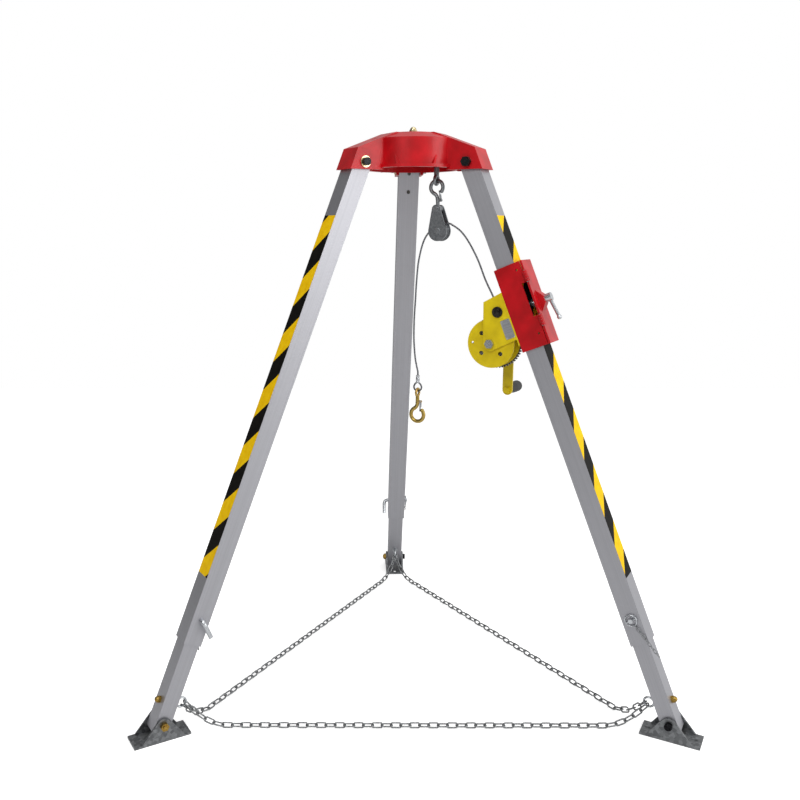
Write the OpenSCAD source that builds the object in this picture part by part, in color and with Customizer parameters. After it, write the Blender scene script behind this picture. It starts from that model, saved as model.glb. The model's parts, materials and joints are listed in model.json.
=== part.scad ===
// Rescue tripod: a three-arm head on telescopic legs, with a pulley block, a hand winch and floor chains.
// The camera side is -Y. Leg 0 stands at the rear, leg 1 at the front left, leg 2 at the front right.

/* [Stance] */
// Height of the leg pivots above the floor
pivot_height = 1485; // [1400:5:1600]
// Distance of the leg pivots from the head's axis
pivot_radius = 175; // [165:1:200]
// Distance of the foot pivots from the head's axis
foot_radius = 775; // [700:5:850]
// Height of the foot pivots above the floor
foot_pivot_height = 45; // [42:1:60]

/* [Head] */
// Height of the hub's flat top above the leg pivots
head_top = 80; // [70:1:100]
// Radius of the hub's flat top
hub_flat_radius = 80; // [60:1:95]
// Radius of the hub's round wall
hub_radius = 126; // [110:1:135]
// Thickness of the hub's wall and top
hub_wall = 7; // [5:0.5:9]
// Depth of the hub's lower edge below the leg pivots
hub_skirt = 13; // [5:1:20]
// Width and height of the lip round the hub's lower edge
hub_lip = 8; // [4:1:12]
// Height of the small ribs that stand on the lip
rib_height = 42; // [20:1:50]
// Thickness of the small ribs
rib_thick = 5; // [3:0.5:8]
// Lean of each rib away from its neighbour
rib_tilt = 20; // [0:1:30]
// Angle of each rib from the middle of its web
rib_angle = 20; // [10:1:28]
// Thickness of the arms' side and end walls
arm_wall = 8; // [6:0.5:10]
// Height of the arms' top at their outer end, above the leg pivots
arm_end_height = 36; // [34:1:45]
// Depth of the arms' lower edge below the leg pivots
arm_skirt = 19; // [18:1:30]
// Gap between a leg and the arm that holds it, on each side
leg_gap = 1; // [0.5:0.1:2]
// Diameter of the leg-pivot bolts
pivot_bolt = 16; // [12:0.5:18]
// Diameter of the flange of the bush under each bolt's head
bush_flange = 30; // [26:1:36]
// Thickness of that flange
bush_thick = 3; // [2:0.5:5]

/* [Anchor and top nut] */
// Distance of the anchor eye from the head's axis
anchor_radius = 72; // [60:1:90]
// Depth of the anchor eye's middle below the leg pivots
anchor_drop = 42; // [38:1:60]
// Radius of the anchor eye, to the middle of its wire
anchor_ring = 11.5; // [11:0.5:14]
// Thickness of the anchor eye's wire
anchor_wire = 9; // [7:0.5:10]
// Diameter of the anchor eye's shank
anchor_shank = 14; // [10:0.5:18]
// Diameter of the boss that the shank screws into
anchor_boss = 32; // [28:1:40]
// Length of that boss
anchor_boss_length = 40; // [30:1:50]
// Diameter of the bolt in the middle of the head's top
top_bolt_d = 12; // [8:0.5:16]

/* [Legs] */
// Width of the outer tube, across the leg's plane
tube_w = 60; // [54:1:70]
// Depth of the outer tube, in the leg's plane
tube_d = 50; // [46:1:56]
// Wall of the outer tube
tube_wall = 3; // [2:0.25:3.5]
// Length of the outer tube below its pivot
upper_length = 1340; // [1300:5:1380]
// Gap between the inner and outer tubes, on each side
tube_gap = 1; // [0.5:0.1:2]
// Wall of the inner tube
lower_wall = 3; // [2:0.25:5]
// Length of inner tube that stays hidden in the outer tube
lower_lap = 750; // [700:10:760]
// Length of inner tube below the foot pivot
lower_tail = 25; // [18:1:30]
// Length of the solid insert in the top of the outer tube
insert_length = 90; // [80:1:140]
// Gap round that insert
insert_gap = 0.2; // [0.1:0.05:0.5]
// Diameter of the two screws that hold the insert
insert_screw = 6; // [4:0.5:8]
// Distance of the lower insert screw below the pivot
insert_screw_low = 60; // [30:1:70]

/* [Hazard tape] */
// Distance from the pivot to the tape's upper end
tape_start = 160; // [120:5:200]
// Length of the tape
tape_length = 1000; // [700:10:1080]
// Bare margin on each side of the tape
tape_margin = 1; // [0:0.5:6]
// Thickness of the tape
tape_thick = 0.4; // [0.2:0.1:0.6]

/* [Lock pins] */
// Diameter of the lock pins
pin_d = 12; // [8:0.5:14]
// Distance of the lock pin above the outer tube's lower end
pin_inset = 70; // [40:1:90]
// Spacing of the pin holes in the inner tube
hole_pitch = 80; // [60:1:80]
// Number of pin holes in the inner tube
hole_count = 7; // [5:1:7]
// Running gap between pins, bolts or shafts and their holes
play = 0.06; // [0.03:0.01:0.1]
// Radius of the bend in the pin's handle
pin_bend = 14; // [10:1:20]
// Length of the pin's handle past the bend
pin_handle = 36; // [20:1:50]
// Turn of the handle from the leg's direction
pin_turns = [45, 45, 75]; // [0:5:90]
// Distance of the linch pin from the tube's side
linch_out = 5; // [4:0.5:8]
// Diameter of the linch pin
linch_d = 4.5; // [3:0.5:6]
// Radius of the linch pin's ring
linch_ring = 15; // [12:0.5:20]
// Wire of the linch pin's ring
linch_wire = 3; // [2:0.25:4]

/* [Feet and eye bolts] */
// Length of the foot from its pivot to its heel
foot_heel = 72; // [60:1:90]
// Length of the foot from its pivot to its toe
foot_toe = 80; // [65:1:100]
// Thickness of the foot's plate
foot_plate = 6; // [4:0.5:8]
// Gap between the inner tube and the foot's ears, on each side
foot_gap = 1; // [0.5:0.1:2]
// Radius of the rounded top of the foot's ears
ear_radius = 20; // [15:1:24]
// Distance of the ears' lower corners from the plate's ends
ear_inset = 14; // [8:1:24]
// Length of the slots at the foot's ends
slot_length = 24; // [16:1:30]
// Width of those slots
slot_width = 9; // [6:0.5:12]
// Distance of the slots' middles from the plate's ends
slot_inset = 20; // [16:1:26]
// Diameter of the foot bolts
foot_bolt_d = 12; // [8:0.5:14]
// Distance of the eye bolts above the foot pivots
eye_above_foot = 55; // [45:1:80]
// Radius of the eye bolts' rings, to the middle of the wire
eye_ring = 13; // [12.5:0.5:15]
// Wire of the eye bolts' rings
eye_wire = 6; // [4:0.5:6]
// Diameter of the eye bolts' shanks
eye_shank = 10; // [8:0.5:12]

/* [Chains] */
// Length of a floor chain's link, inside
link_pitch = 25; // [22:1:32]
// Width of a floor chain's link, outside
link_width = 18; // [18:0.5:22]
// Wire of a floor chain's link
link_wire = 4.2; // [3:0.1:4.2]
// Distance over which a floor chain drops from its eye to the floor
chain_drop = 110; // [80:5:160]
// Length of a keeper chain's link, inside
keeper_pitch = 11; // [9:0.5:14]
// Wire of a keeper chain's link
keeper_wire = 1.8; // [1.2:0.1:2]

/* [Winch clamp] */
// Distance from the leg's pivot to the clamp's upper end
clamp_start = 292; // [260:1:310]
// Length of the clamp along the leg
clamp_length = 228; // [220:1:260]
// Thickness of the clamp's wall on the winch's side
clamp_back = 6; // [4:0.5:8]
// Thickness of the clamp's two side walls
clamp_side = 5; // [4:0.5:6]
// Gap between the clamp and the tube
clamp_gap = 1; // [0.5:0.1:2]
// Distance from the tube's outer face to the door's inner face
door_stand = 17; // [14:0.5:24]
// Thickness of the clamp's door
door_thick = 6; // [5:0.5:8]
// Radius of the hinge knuckles
knuckle_radius = 7; // [6:0.5:8]
// Length of a hinge knuckle
knuckle_length = 7; // [6:0.5:8]
// Diameter of the hinge pins
hinge_pin = 6; // [4:0.5:8]
// Height of the boss on the door
boss_height = 16; // [10:1:24]
// Diameter of the clamp screw
screw_d = 14; // [10:0.5:18]
// Length of the clamp screw's lever
lever_length = 60; // [40:1:80]
// Diameter of the clamp screw's lever
lever_d = 9; // [6:0.5:12]

/* [Winch] */
// Distance of the drum's axis from the leg's middle, on the inner side
drum_out = 110; // [108:1:125]
// Distance along the leg from the pivot to the drum's axis
drum_along = 468; // [455:1:475]
// Radius of the drum's flanges
flange_radius = 66; // [60:1:70]
// Thickness of the drum's flanges
flange_thick = 3; // [2:0.5:4]
// Width of the drum between its flanges
drum_width = 42; // [38:1:44]
// Radius of the drum's barrel
barrel_radius = 24; // [18:1:26]
// Diameter of the drum's shaft and of the pinion's shaft
shaft_d = 16; // [12:0.5:18]
// Thickness of the winch frame's plates
frame_plate = 4; // [3:0.5:5]
// Module of the gear teeth
gear_module = 2.5; // [2.4:0.05:2.55]
// Width of the gears
gear_width = 8; // [6:0.5:8]
// Stand-off of the crank arm from the nuts of the winch
crank_stand = 20; // [4:1:40]
// Length of the crank arm
crank_length = 225; // [180:5:260]
// Width of the crank arm
crank_width = 28; // [22:1:34]
// Thickness of the crank arm
crank_thick = 6; // [5:0.5:8]
// Length of the crank's grip
grip_length = 86; // [70:1:110]
// Largest radius of the crank's grip
grip_radius = 16; // [13:0.5:18]

/* [Pulley block and hooks] */
// Lean of the block from the vertical
block_lean = 5; // [0:0.5:8]
// Radius of the block hook's bowl, to the middle of the wire
block_bowl = 18; // [17:0.5:20]
// Wire of the block's hook
block_wire = 10; // [8:0.5:10]
// Distance from the anchor eye's middle down to the sheave's axis
sheave_drop = 137; // [130:1:160]
// Distance between the block's cross pin and the sheave's axis
cheek_length = 59; // [56:1:66]
// Radius of the cheek plates round the sheave
cheek_radius = 27; // [25:0.5:32]
// Thickness of the cheek plates
cheek_thick = 3; // [2:0.5:4]
// Width of the sheave
sheave_width = 24; // [18:1:30]
// Radius of the sheave's rim
sheave_radius = 24.5; // [23:0.5:24.5]
// Diameter of the sheave's axle and of the cross pin
axle_d = 10; // [8:0.5:12]
// Radius of the load hook's bowl, to the middle of the wire
hook_bowl = 20; // [19:0.5:23]
// Wire of the load hook
hook_wire = 11; // [9:0.5:11]
// Radius of the load hook's eye, to the middle of the wire
hook_eye = 10.5; // [10:0.5:13]
// Wire of the load hook's eye
hook_eye_wire = 7; // [5:0.5:8]
// Radius of the rope's end eye, to the middle of the wire
thimble_ring = 12; // [11:0.5:15]
// Wire of the rope's end eye
thimble_wire = 6; // [5:0.5:7]
// Diameter of the ferrule
ferrule_d = 11; // [9:0.5:14]
// Length of the ferrule
ferrule_length = 22; // [16:1:30]

/* [Rope] */
// Diameter of the rope
rope_d = 5; // [4:0.25:6]
// Number of rope turns in the drum's outer layer
rope_turns = 6; // [4:1:6]
// Number of rope layers under the outer one
rope_layers = 3; // [2:1:3]

/* [Hidden] */
$fn = 48;

// Stance
leg_azimuth = [90, 210, 330];
lean = atan((foot_radius - pivot_radius) / (pivot_height - foot_pivot_height));
leg_length = norm([foot_radius - pivot_radius, pivot_height - foot_pivot_height]);
lower_w = tube_w - 2 * tube_wall - 2 * tube_gap;
lower_d = tube_d - 2 * tube_wall - 2 * tube_gap;
foot_w = lower_w + 2 * foot_gap + 2 * foot_plate;
foot_reach = foot_radius + foot_toe;
// The head's axis is set back so that the origin lies under the middle of the whole tripod
axis_y = -(foot_reach - foot_reach / 2 - foot_w / 2 * cos(30)) / 2;
pin_along = upper_length - pin_inset;
eye_along = leg_length - eye_above_foot;
eye_collar = 3;
eye_out = lower_d / 2 + eye_collar + eye_ring + eye_wire / 2;
seat = 0.3;

// Head
arm_slope = (head_top - arm_end_height) / (200 - hub_flat_radius);
arm_width = tube_w + 2 * leg_gap + 2 * arm_wall;
stop_gap = 0.5;

// Clamp and winch, measured across the leg and down it
clamp_w = tube_w + 2 * clamp_gap + 2 * clamp_side;
clamp_in = tube_d / 2 + clamp_gap;
frame_in = clamp_in + clamp_back;
door_in = tube_d / 2 + door_stand;
clamp_end = clamp_start + clamp_length;
door_edge = 1.5;
hinge_x = door_in + door_thick / 2;
hinge_y = -(clamp_w - clamp_side) / 2;
knuckle_gap = 0.5;
knuckle_step = knuckle_length + knuckle_gap;
knuckle_starts = [clamp_start + 28, clamp_end - 80];
screw_along = (clamp_start + clamp_end) / 2;
boss_half = 30;
pad_gap = 0.4;
frame_inner = clamp_w / 2 - frame_plate;
drum_low = -frame_inner + 3;
drum_high = drum_low + drum_width + 2 * flange_thick;
wheel_teeth = 56;
pinion_teeth = 14;
centre_distance = gear_module * (wheel_teeth + pinion_teeth) / 2;
pinion_out = frame_in + frame_plate + gear_module * (pinion_teeth / 2 + 1) + 4;
pinion_along = drum_along - sqrt(pow(centre_distance, 2) - pow(drum_out - pinion_out, 2));
// Rise of the line from the drum to the pinion, on which a wheel tooth meets a pinion gap
gear_turn = atan2(drum_along - pinion_along, drum_out - pinion_out) + lean;
shaft_nut = 5;
crank_plane = clamp_w / 2 + shaft_nut + crank_stand;
core_radius = barrel_radius + seat + rope_layers * rope_d;
coil_radius = core_radius + seat + rope_d / 2;
coil_pitch = (drum_width - rope_d - 2 * seat) / rope_turns;
coil_start = drum_low + flange_thick + seat + rope_d / 2;
drum_u = pivot_radius - drum_out * cos(lean) + drum_along * sin(lean);
drum_z = pivot_height - drum_out * sin(lean) - drum_along * cos(lean);

// Block, hooks and rope
anchor_z = pivot_height - anchor_drop;
cheek_top_radius = 12;
cheek_offset = sheave_width / 2 + seat;
groove_radius = 18.5;
sheave_u = anchor_radius + sheave_drop * sin(block_lean);
sheave_z = anchor_z - sheave_drop * cos(block_lean);
rope_bend = groove_radius + rope_d / 2 + seat;
function sheave_spot(a) = [sheave_u + rope_bend * cos(a), 0, sheave_z + rope_bend * sin(a)];
hook_u = 25;
hook_bottom = 761;
hook_rise = sqrt(3);
hook_shank = 20;
hook_z = hook_bottom + hook_bowl + hook_wire / 2;
hook_eye_z = hook_z + hook_bowl * hook_rise + hook_shank + hook_eye;
thimble_z = hook_eye_z + hook_eye - hook_eye_wire / 2 - thimble_wire / 2 - seat + thimble_ring;
ferrule_z = thimble_z + thimble_ring;
latch_pin = 4;
latch_plate = 1.6;
lug_thick = 4;

// The rope's own points, as distance from the head's axis, offset across and height
rope_join = [112, 0, 1327];
lift_end = [drum_u + coil_radius, coil_start, drum_z + 2 * rope_d];
join_way = unit([10, 0, -3]);
lift_points = [rope_join + 6 * join_way, [146, 0, 1307], [171, -1, 1278], [200, -4, 1231], [225, -8, 1178],
    [248, -12, 1138], [256, -14, 1120], [259, -16, 1102], [260.5, -17.5, 1088], [266, -19.5, 1073],
    [275, -21.5, 1063], [285, -22.8, 1055], [291.5, -23.2, 1046.5], [294.8, -23.2, 1038],
    lift_end + [0, 0, 2 * rope_d]];
lift_path = concat([rope_join], smooth(lift_points, 3), [lift_end + [0, 0, seat]]);
fall_end = [hook_u, 0, ferrule_z + ferrule_length];
fall_points = concat([rope_join - 6 * join_way], [for (a = [90, 107, 124, 140]) sheave_spot(a)],
    [[39, 0, 1284], [23, 0, 1229], [17, 0, 1173], [14, 0, 1117], [11, 0, 1060], [11, 0, 1003], [16, 0, 950],
    fall_end + [0, 0, 2 * rope_d]]);
fall_path = concat([rope_join], smooth(fall_points, 3), [fall_end]);

// Keeper chains run from the linch ring, as a way out of the leg and down it, and as a length
keeper_ways = [[0.3, -1], [-0.55, -1], [0.38, -1]];
keeper_lengths = [42, 92, 88];

function unit(v) = v / norm(v);
function arc(c, r, a, b, n) = [for (k = [0:n]) let (t = a + (b - a) * k / n) c + r * [cos(t), sin(t)]];
function sums(v, i = 0, s = 0, out = [0]) = i == len(v) ? out : sums(v, i + 1, s + v[i], concat(out, [s + v[i]]));
function steps(p) = [for (i = [1:len(p) - 1]) norm(p[i] - p[i - 1])];
function column(s, p, k) = [for (i = [0:len(p) - 1]) [s[i], p[i][k]]];
function spot(s, p, at) = [for (k = [0:2]) lookup(at, column(s, p, k))];
// A smooth curve through points, with n steps between each pair
function bow(a, b, c, d, t) = b + t * (c - a) / 2 + t * t * (a - 2.5 * b + 2 * c - d / 2)
    + t * t * t * (1.5 * (b - c) + (d - a) / 2);
function smooth(p, n) = let (m = len(p) - 1) concat(
    [for (i = [0:m - 1], k = [0:n - 1]) bow(p[max(i - 1, 0)], p[i], p[i + 1], p[min(i + 2, m)], k / n)], [p[m]]);

// Frames
module at_head(i) {
    translate([0, axis_y, 0]) rotate(leg_azimuth[i]) children();
}
module at_leg(i) {
    at_head(i) translate([pivot_radius, 0, pivot_height]) rotate([0, -lean, 0]) children();
}
module at_foot(i) {
    at_head(i) translate([foot_radius, 0, foot_pivot_height]) children();
}
module at_drum() {
    at_leg(2) translate([-drum_out, 0, -drum_along]) rotate([0, lean, 0]) children();
}
module at_pinion() {
    at_leg(2) translate([-pinion_out, 0, -pinion_along]) rotate([0, lean, 0]) children();
}
module at_block() {
    at_head(2) translate([anchor_radius, 0, anchor_z]) rotate([0, -block_lean, 0]) children();
}

// Round bars across the leg's plane, outwards and a plate standing in that plane
module across(d, from, to) {
    translate([0, from, 0]) rotate([-90, 0, 0]) cylinder(d = d, h = to - from);
}
module outward(d, from, to) {
    translate([from, 0, 0]) rotate([0, 90, 0]) cylinder(d = d, h = to - from);
}
module plate(from, to) {
    translate([0, to, 0]) rotate([90, 0, 0]) linear_extrude(to - from) children();
}
module ring(radius, wire) {
    rotate([90, 0, 0]) rotate_extrude() translate([radius, 0]) circle(d = wire, $fn = 24);
}
module nut_across(d, from, to, bore) {
    difference() {
        translate([0, from, 0]) rotate([-90, 0, 0]) cylinder(d = d, h = to - from, $fn = 6);
        across(bore + 2 * play, from - 1, to + 1);
    }
}

// A welded chain link lying flat, with its length along X
module chain_link(pitch, width, wire) {
    bend = (width - wire) / 2;
    run = pitch + wire - 2 * bend;
    for (side = [0, 1]) {
        mirror([side, 0, 0]) translate([run / 2, 0, 0]) rotate(-90)
            rotate_extrude(angle = 180, $fn = 32) translate([bend, 0]) circle(d = wire, $fn = 24);
        mirror([0, side, 0]) translate([0, bend, 0]) outward(wire, -run / 2, run / 2);
    }
}
// Links along a path: every second one is turned on edge, and the pitch is fitted to the length
module chain(path, pitch, width, wire, slack) {
    s = sums(steps(path));
    total = s[len(s) - 1];
    count = max(2, round(total / pitch));
    step = total / count;
    for (i = [0:count]) {
        at = spot(s, path, i * step);
        t = unit(spot(s, path, min(total, i * step + 3)) - spot(s, path, max(0, i * step - 3)));
        side = unit(cross([0, 0, 1], t));
        up = cross(t, side);
        multmatrix([[t.x, side.x, up.x, at.x], [t.y, side.y, up.y, at.y], [t.z, side.z, up.z, at.z]])
            rotate([i % 2 * 90, 0, 0]) chain_link(step + slack, width, wire);
    }
}

// A round tube of straight facets along a path, closed at both ends
module tube(path, d, sides) {
    n = len(path);
    function way(i) = unit(path[min(i + 1, n - 1)] - path[max(i - 1, 0)]);
    function flank(i) = unit(cross(way(i), [0, 1, 0]));
    points = [for (i = [0:n - 1], k = [0:sides - 1])
        let (a = 360 * k / sides, u = flank(i), v = cross(way(i), u)) path[i] + d / 2 * (cos(a) * u + sin(a) * v)];
    walls = [for (i = [0:n - 2], k = [0:sides - 1])
        let (a = i * sides + k, b = i * sides + (k + 1) % sides) each [[a, b + sides, b], [a, a + sides, b + sides]]];
    first = [for (k = [1:sides - 2]) [0, k, k + 1]];
    last = [for (k = [1:sides - 2]) (n - 1) * sides * [1, 1, 1] + [0, k + 1, k]];
    polyhedron(points, concat(walls, first, last));
}

// Spur gear outline: straight flanks through root, pitch and tip
module gear_outline(teeth, module_size, tip, slack) {
    pitch_r = teeth * module_size / 2;
    base_r = pitch_r * cos(20);
    root_r = pitch_r - 1.3 * module_size;
    function lift(r) = let (a = acos(min(1, base_r / r))) tan(a) * 180 / PI - a;
    function half(r) = 90 / teeth - slack / pitch_r * 90 / PI + lift(pitch_r) - lift(max(r, base_r));
    flank = [root_r, pitch_r, pitch_r + tip * module_size];
    polygon([for (i = [0:teeth - 1], j = [-1, 1], k = [0:2])
        let (r = flank[j < 0 ? k : 2 - k], a = 360 * i / teeth + j * half(r)) r * [cos(a), sin(a)]]);
}

// Head
module arm_outline() {
    far = (tube_d / 2 + stop_gap + arm_wall) / cos(lean);
    polygon([[0, -hub_skirt], [hub_radius - hub_wall, -hub_skirt], [hub_radius - hub_wall, -arm_skirt],
        [pivot_radius + far + arm_skirt * tan(lean), -arm_skirt],
        [pivot_radius + far - arm_end_height * tan(lean), arm_end_height],
        [hub_flat_radius, head_top], [0, head_top]]);
}
module arm_channel() {
    near = hub_radius + 1;
    inner = hub_radius - hub_wall - 1;
    far = (tube_d / 2 + stop_gap) / cos(lean);
    end_r = pivot_radius + far;
    roof = arm_end_height - hub_wall - 1;
    polygon([[inner, -arm_skirt - 1], [end_r + (arm_skirt + 1) * tan(lean), -arm_skirt - 1],
        [end_r - roof * tan(lean), roof], [near, roof + arm_slope * (end_r - roof * tan(lean) - near)],
        [near, -hub_skirt], [inner, -hub_skirt]]);
}
module hub_profile(inset, skirt) {
    shoulder = head_top - arm_slope * (hub_radius - hub_flat_radius);
    polygon([[0, -skirt], [hub_radius - inset, -skirt], [hub_radius - inset, shoulder - inset],
        [hub_flat_radius, head_top - inset], [0, head_top - inset]]);
}
module web_ribs() {
    for (side = [-1, 1]) {
        rotate(180 + side * rib_angle) translate([0, 0, -hub_skirt]) rotate([-side * rib_tilt, 0, 0])
            translate([0, 0, hub_skirt]) plate(-rib_thick / 2, rib_thick / 2)
            polygon([[hub_radius - hub_wall / 2, -hub_skirt], [hub_radius + hub_lip - 0.5, -hub_skirt],
                [hub_radius + hub_lip - 0.5, hub_lip - hub_skirt], [hub_radius - hub_wall / 2, rib_height - hub_skirt]]);
    }
}
module head_casting() {
    boss_low = head_top - hub_wall - anchor_boss_length;
    color("crimson") difference() {
        union() {
            translate([0, axis_y, pivot_height]) rotate_extrude($fn = 96) hub_profile(0, hub_skirt);
            translate([0, axis_y, pivot_height - hub_skirt]) cylinder(r = hub_radius + hub_lip, h = hub_lip, $fn = 96);
            for (i = [0:2]) {
                at_head(i) translate([0, 0, pivot_height]) plate(-arm_width / 2, arm_width / 2) arm_outline();
                at_head(i) translate([0, 0, pivot_height]) web_ribs();
            }
        }
        difference() {
            translate([0, axis_y, pivot_height]) rotate_extrude($fn = 96) hub_profile(hub_wall, hub_skirt + 1);
            at_head(2) translate([anchor_radius, 0, pivot_height + boss_low])
                cylinder(d = anchor_boss, h = anchor_boss_length + hub_wall);
        }
        for (i = [0:2]) {
            at_head(i) translate([0, 0, pivot_height])
                plate(-tube_w / 2 - leg_gap, tube_w / 2 + leg_gap) arm_channel();
            at_head(i) translate([pivot_radius, 0, pivot_height]) {
                across(pivot_bolt + 2 * play, -arm_width, 0);
                across(pivot_bolt + 4 + 2 * play, 0, arm_width);
            }
        }
        at_head(2) translate([anchor_radius, 0, pivot_height + boss_low - 1])
            cylinder(d = anchor_shank + 2 * play, h = anchor_boss_length - 6);
        translate([0, axis_y, pivot_height]) cylinder(d = top_bolt_d + 2 * play, h = head_top + 1);
    }
}
module pivot_bolts() {
    head_face = arm_width / 2 + bush_thick;
    color("black") for (i = [0:2]) {
        at_head(i) translate([pivot_radius, 0, pivot_height]) {
            union() {
                across(pivot_bolt, -arm_width / 2 - 14, head_face);
                translate([0, head_face, 0]) rotate([-90, 0, 0]) cylinder(d = 21, h = 9);
            }
            nut_across(27, -arm_width / 2 - 12, -arm_width / 2, pivot_bolt);
        }
    }
}
module pivot_bushes() {
    inner = tube_w / 2 + leg_gap;
    color("goldenrod") for (i = [0:2]) {
        at_head(i) translate([pivot_radius, 0, pivot_height]) difference() {
            union() {
                across(pivot_bolt + 4, inner, arm_width / 2);
                across(bush_flange, arm_width / 2, arm_width / 2 + bush_thick);
            }
            across(pivot_bolt + 2 * play, inner - 1, arm_width);
        }
    }
}
module top_nut() {
    washer = 2.5;
    color("goldenrod") translate([0, axis_y, pivot_height + head_top]) {
        union() {
            translate([0, 0, -hub_wall - 6]) cylinder(d = 2 * top_bolt_d, h = 6, $fn = 6);
            translate([0, 0, -hub_wall]) cylinder(d = top_bolt_d, h = hub_wall + washer + 10);
        }
        difference() {
            union() {
                cylinder(d = 2.4 * top_bolt_d, h = washer);
                translate([0, 0, washer]) cylinder(d = 1.8 * top_bolt_d, h = 9, $fn = 6);
                translate([0, 0, washer + 9]) sphere(d = 1.5 * top_bolt_d);
            }
            translate([0, 0, -1]) cylinder(d = top_bolt_d + 2 * play, h = washer + 12);
        }
    }
}
module anchor_eye() {
    boss_low = anchor_drop + head_top - hub_wall - anchor_boss_length;
    color("dimgray") at_head(2) translate([anchor_radius, 0, anchor_z]) {
        rotate(90) ring(anchor_ring, anchor_wire);
        translate([0, 0, anchor_ring]) cylinder(d = anchor_shank, h = boss_low + anchor_boss_length - 9 - anchor_ring);
        translate([0, 0, boss_low - 8]) cylinder(d = anchor_shank + 8, h = 8);
    }
}

// Legs
module leg_outline(depth, length) {
    union() {
        circle(d = depth);
        translate([-depth / 2, -length]) square([depth, length]);
    }
}
module insert_screw_places() {
    for (low = [4, insert_screw_low]) {
        translate([0, 0, -low]) children();
    }
}
module upper_tube(i) {
    inside = tube_w - 2 * tube_wall;
    color("silver") at_leg(i) difference() {
        plate(-tube_w / 2, tube_w / 2) leg_outline(tube_d, upper_length);
        plate(-inside / 2, inside / 2) leg_outline(tube_d - 2 * tube_wall, upper_length + 1);
        across(pivot_bolt + 2 * play, -tube_w, tube_w);
        translate([0, 0, -pin_along]) across(pin_d + 2 * play, -tube_w, tube_w);
        insert_screw_places() outward(insert_screw + 2 * play, -tube_d, -tube_d / 4);
    }
}
module leg_insert(i) {
    wide = tube_w - 2 * tube_wall - 2 * insert_gap;
    color("dimgray") at_leg(i) {
        difference() {
            plate(-wide / 2, wide / 2) leg_outline(tube_d - 2 * tube_wall - 2 * insert_gap, insert_length);
            across(pivot_bolt + 2 * play, -tube_w, tube_w);
            insert_screw_places() outward(insert_screw + 2 * play, -tube_d, -tube_d / 4);
        }
        insert_screw_places() union() {
            outward(insert_screw, -tube_d / 2, -tube_d / 4 - seat);
            outward(1.7 * insert_screw, -tube_d / 2 - 2.5, -tube_d / 2);
        }
    }
}
module hazard_tape(i) {
    wide = tube_w - 2 * tape_margin;
    color("gold") at_leg(i) translate([tube_d / 2, -wide / 2, -tape_start - tape_length])
        cube([tape_thick, wide, tape_length]);
}
module lower_tube(i) {
    top = upper_length - lower_lap;
    length = leg_length + lower_tail - top;
    inner_w = lower_w - 2 * lower_wall;
    inner_d = lower_d - 2 * lower_wall;
    color("silver") at_leg(i) difference() {
        translate([-lower_d / 2, -lower_w / 2, -top - length]) cube([lower_d, lower_w, length]);
        translate([-inner_d / 2, -inner_w / 2, -top - length - 1]) cube([inner_d, inner_w, length + 2]);
        for (k = [0:hole_count - 1]) {
            translate([0, 0, -pin_along + k * hole_pitch]) across(pin_d + 2 * play, -tube_w, tube_w);
        }
        translate([0, 0, -leg_length]) across(foot_bolt_d + 2 * play, -tube_w, tube_w);
        translate([0, 0, -eye_along]) outward(eye_shank + 2 * play, -tube_d, tube_d);
    }
}
module lock_pin(i) {
    bend_y = tube_w / 2 + 2;
    color("silver") at_leg(i) translate([0, 0, -pin_along]) rotate([0, pin_turns[i], 0]) difference() {
        union() {
            across(pin_d, -tube_w / 2 - linch_out - 6, bend_y);
            translate([0, bend_y, -pin_bend]) rotate([90, 0, 90])
                rotate_extrude(angle = 90) translate([pin_bend, 0]) circle(d = pin_d);
            translate([0, bend_y + pin_bend, -pin_bend - pin_handle]) cylinder(d = pin_d, h = pin_handle);
        }
        translate([0, -tube_w / 2 - linch_out, -pin_d]) cylinder(d = linch_d + 4 * play, h = 2 * pin_d);
    }
}
module linch_pin(i) {
    color("silver") at_leg(i) translate([0, -tube_w / 2 - linch_out, -pin_along]) rotate([0, pin_turns[i], 0]) {
        ring(linch_ring, linch_wire);
        translate([0, 0, -linch_ring]) cylinder(d = linch_d, h = 2 * linch_ring);
    }
}
module keeper_chain(i) {
    way = unit([keeper_ways[i].x, 0, keeper_ways[i].y]);
    from = linch_ring + keeper_pitch / 2 - linch_wire / 2 - seat;
    width = 2 * keeper_wire + linch_wire + 1.6;
    color("silver") at_leg(i) translate([0, -tube_w / 2 - linch_out, -pin_along])
        chain([from * way, (from + keeper_lengths[i] / 2) * way, (from + keeper_lengths[i]) * way],
            keeper_pitch, width, keeper_wire, 0.3);
}
module eye_bolt(i) {
    nut_face = lower_d / 2;
    color("silver") at_leg(i) translate([0, 0, -eye_along]) {
        union() {
            translate([-eye_out, 0, 0]) ring(eye_ring, eye_wire);
            outward(2 * eye_shank, -lower_d / 2 - eye_collar, -lower_d / 2);
            outward(eye_shank, -eye_out + eye_ring, nut_face + eye_shank);
        }
        difference() {
            union() {
                translate([nut_face, 0, 0]) rotate([0, 90, 0]) cylinder(d = 2 * eye_shank, h = 0.7 * eye_shank, $fn = 6);
                translate([nut_face + 0.7 * eye_shank, 0, 0]) sphere(d = 1.6 * eye_shank);
            }
            outward(eye_shank + 2 * play, 0, nut_face + eye_shank + seat);
        }
    }
}

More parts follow.
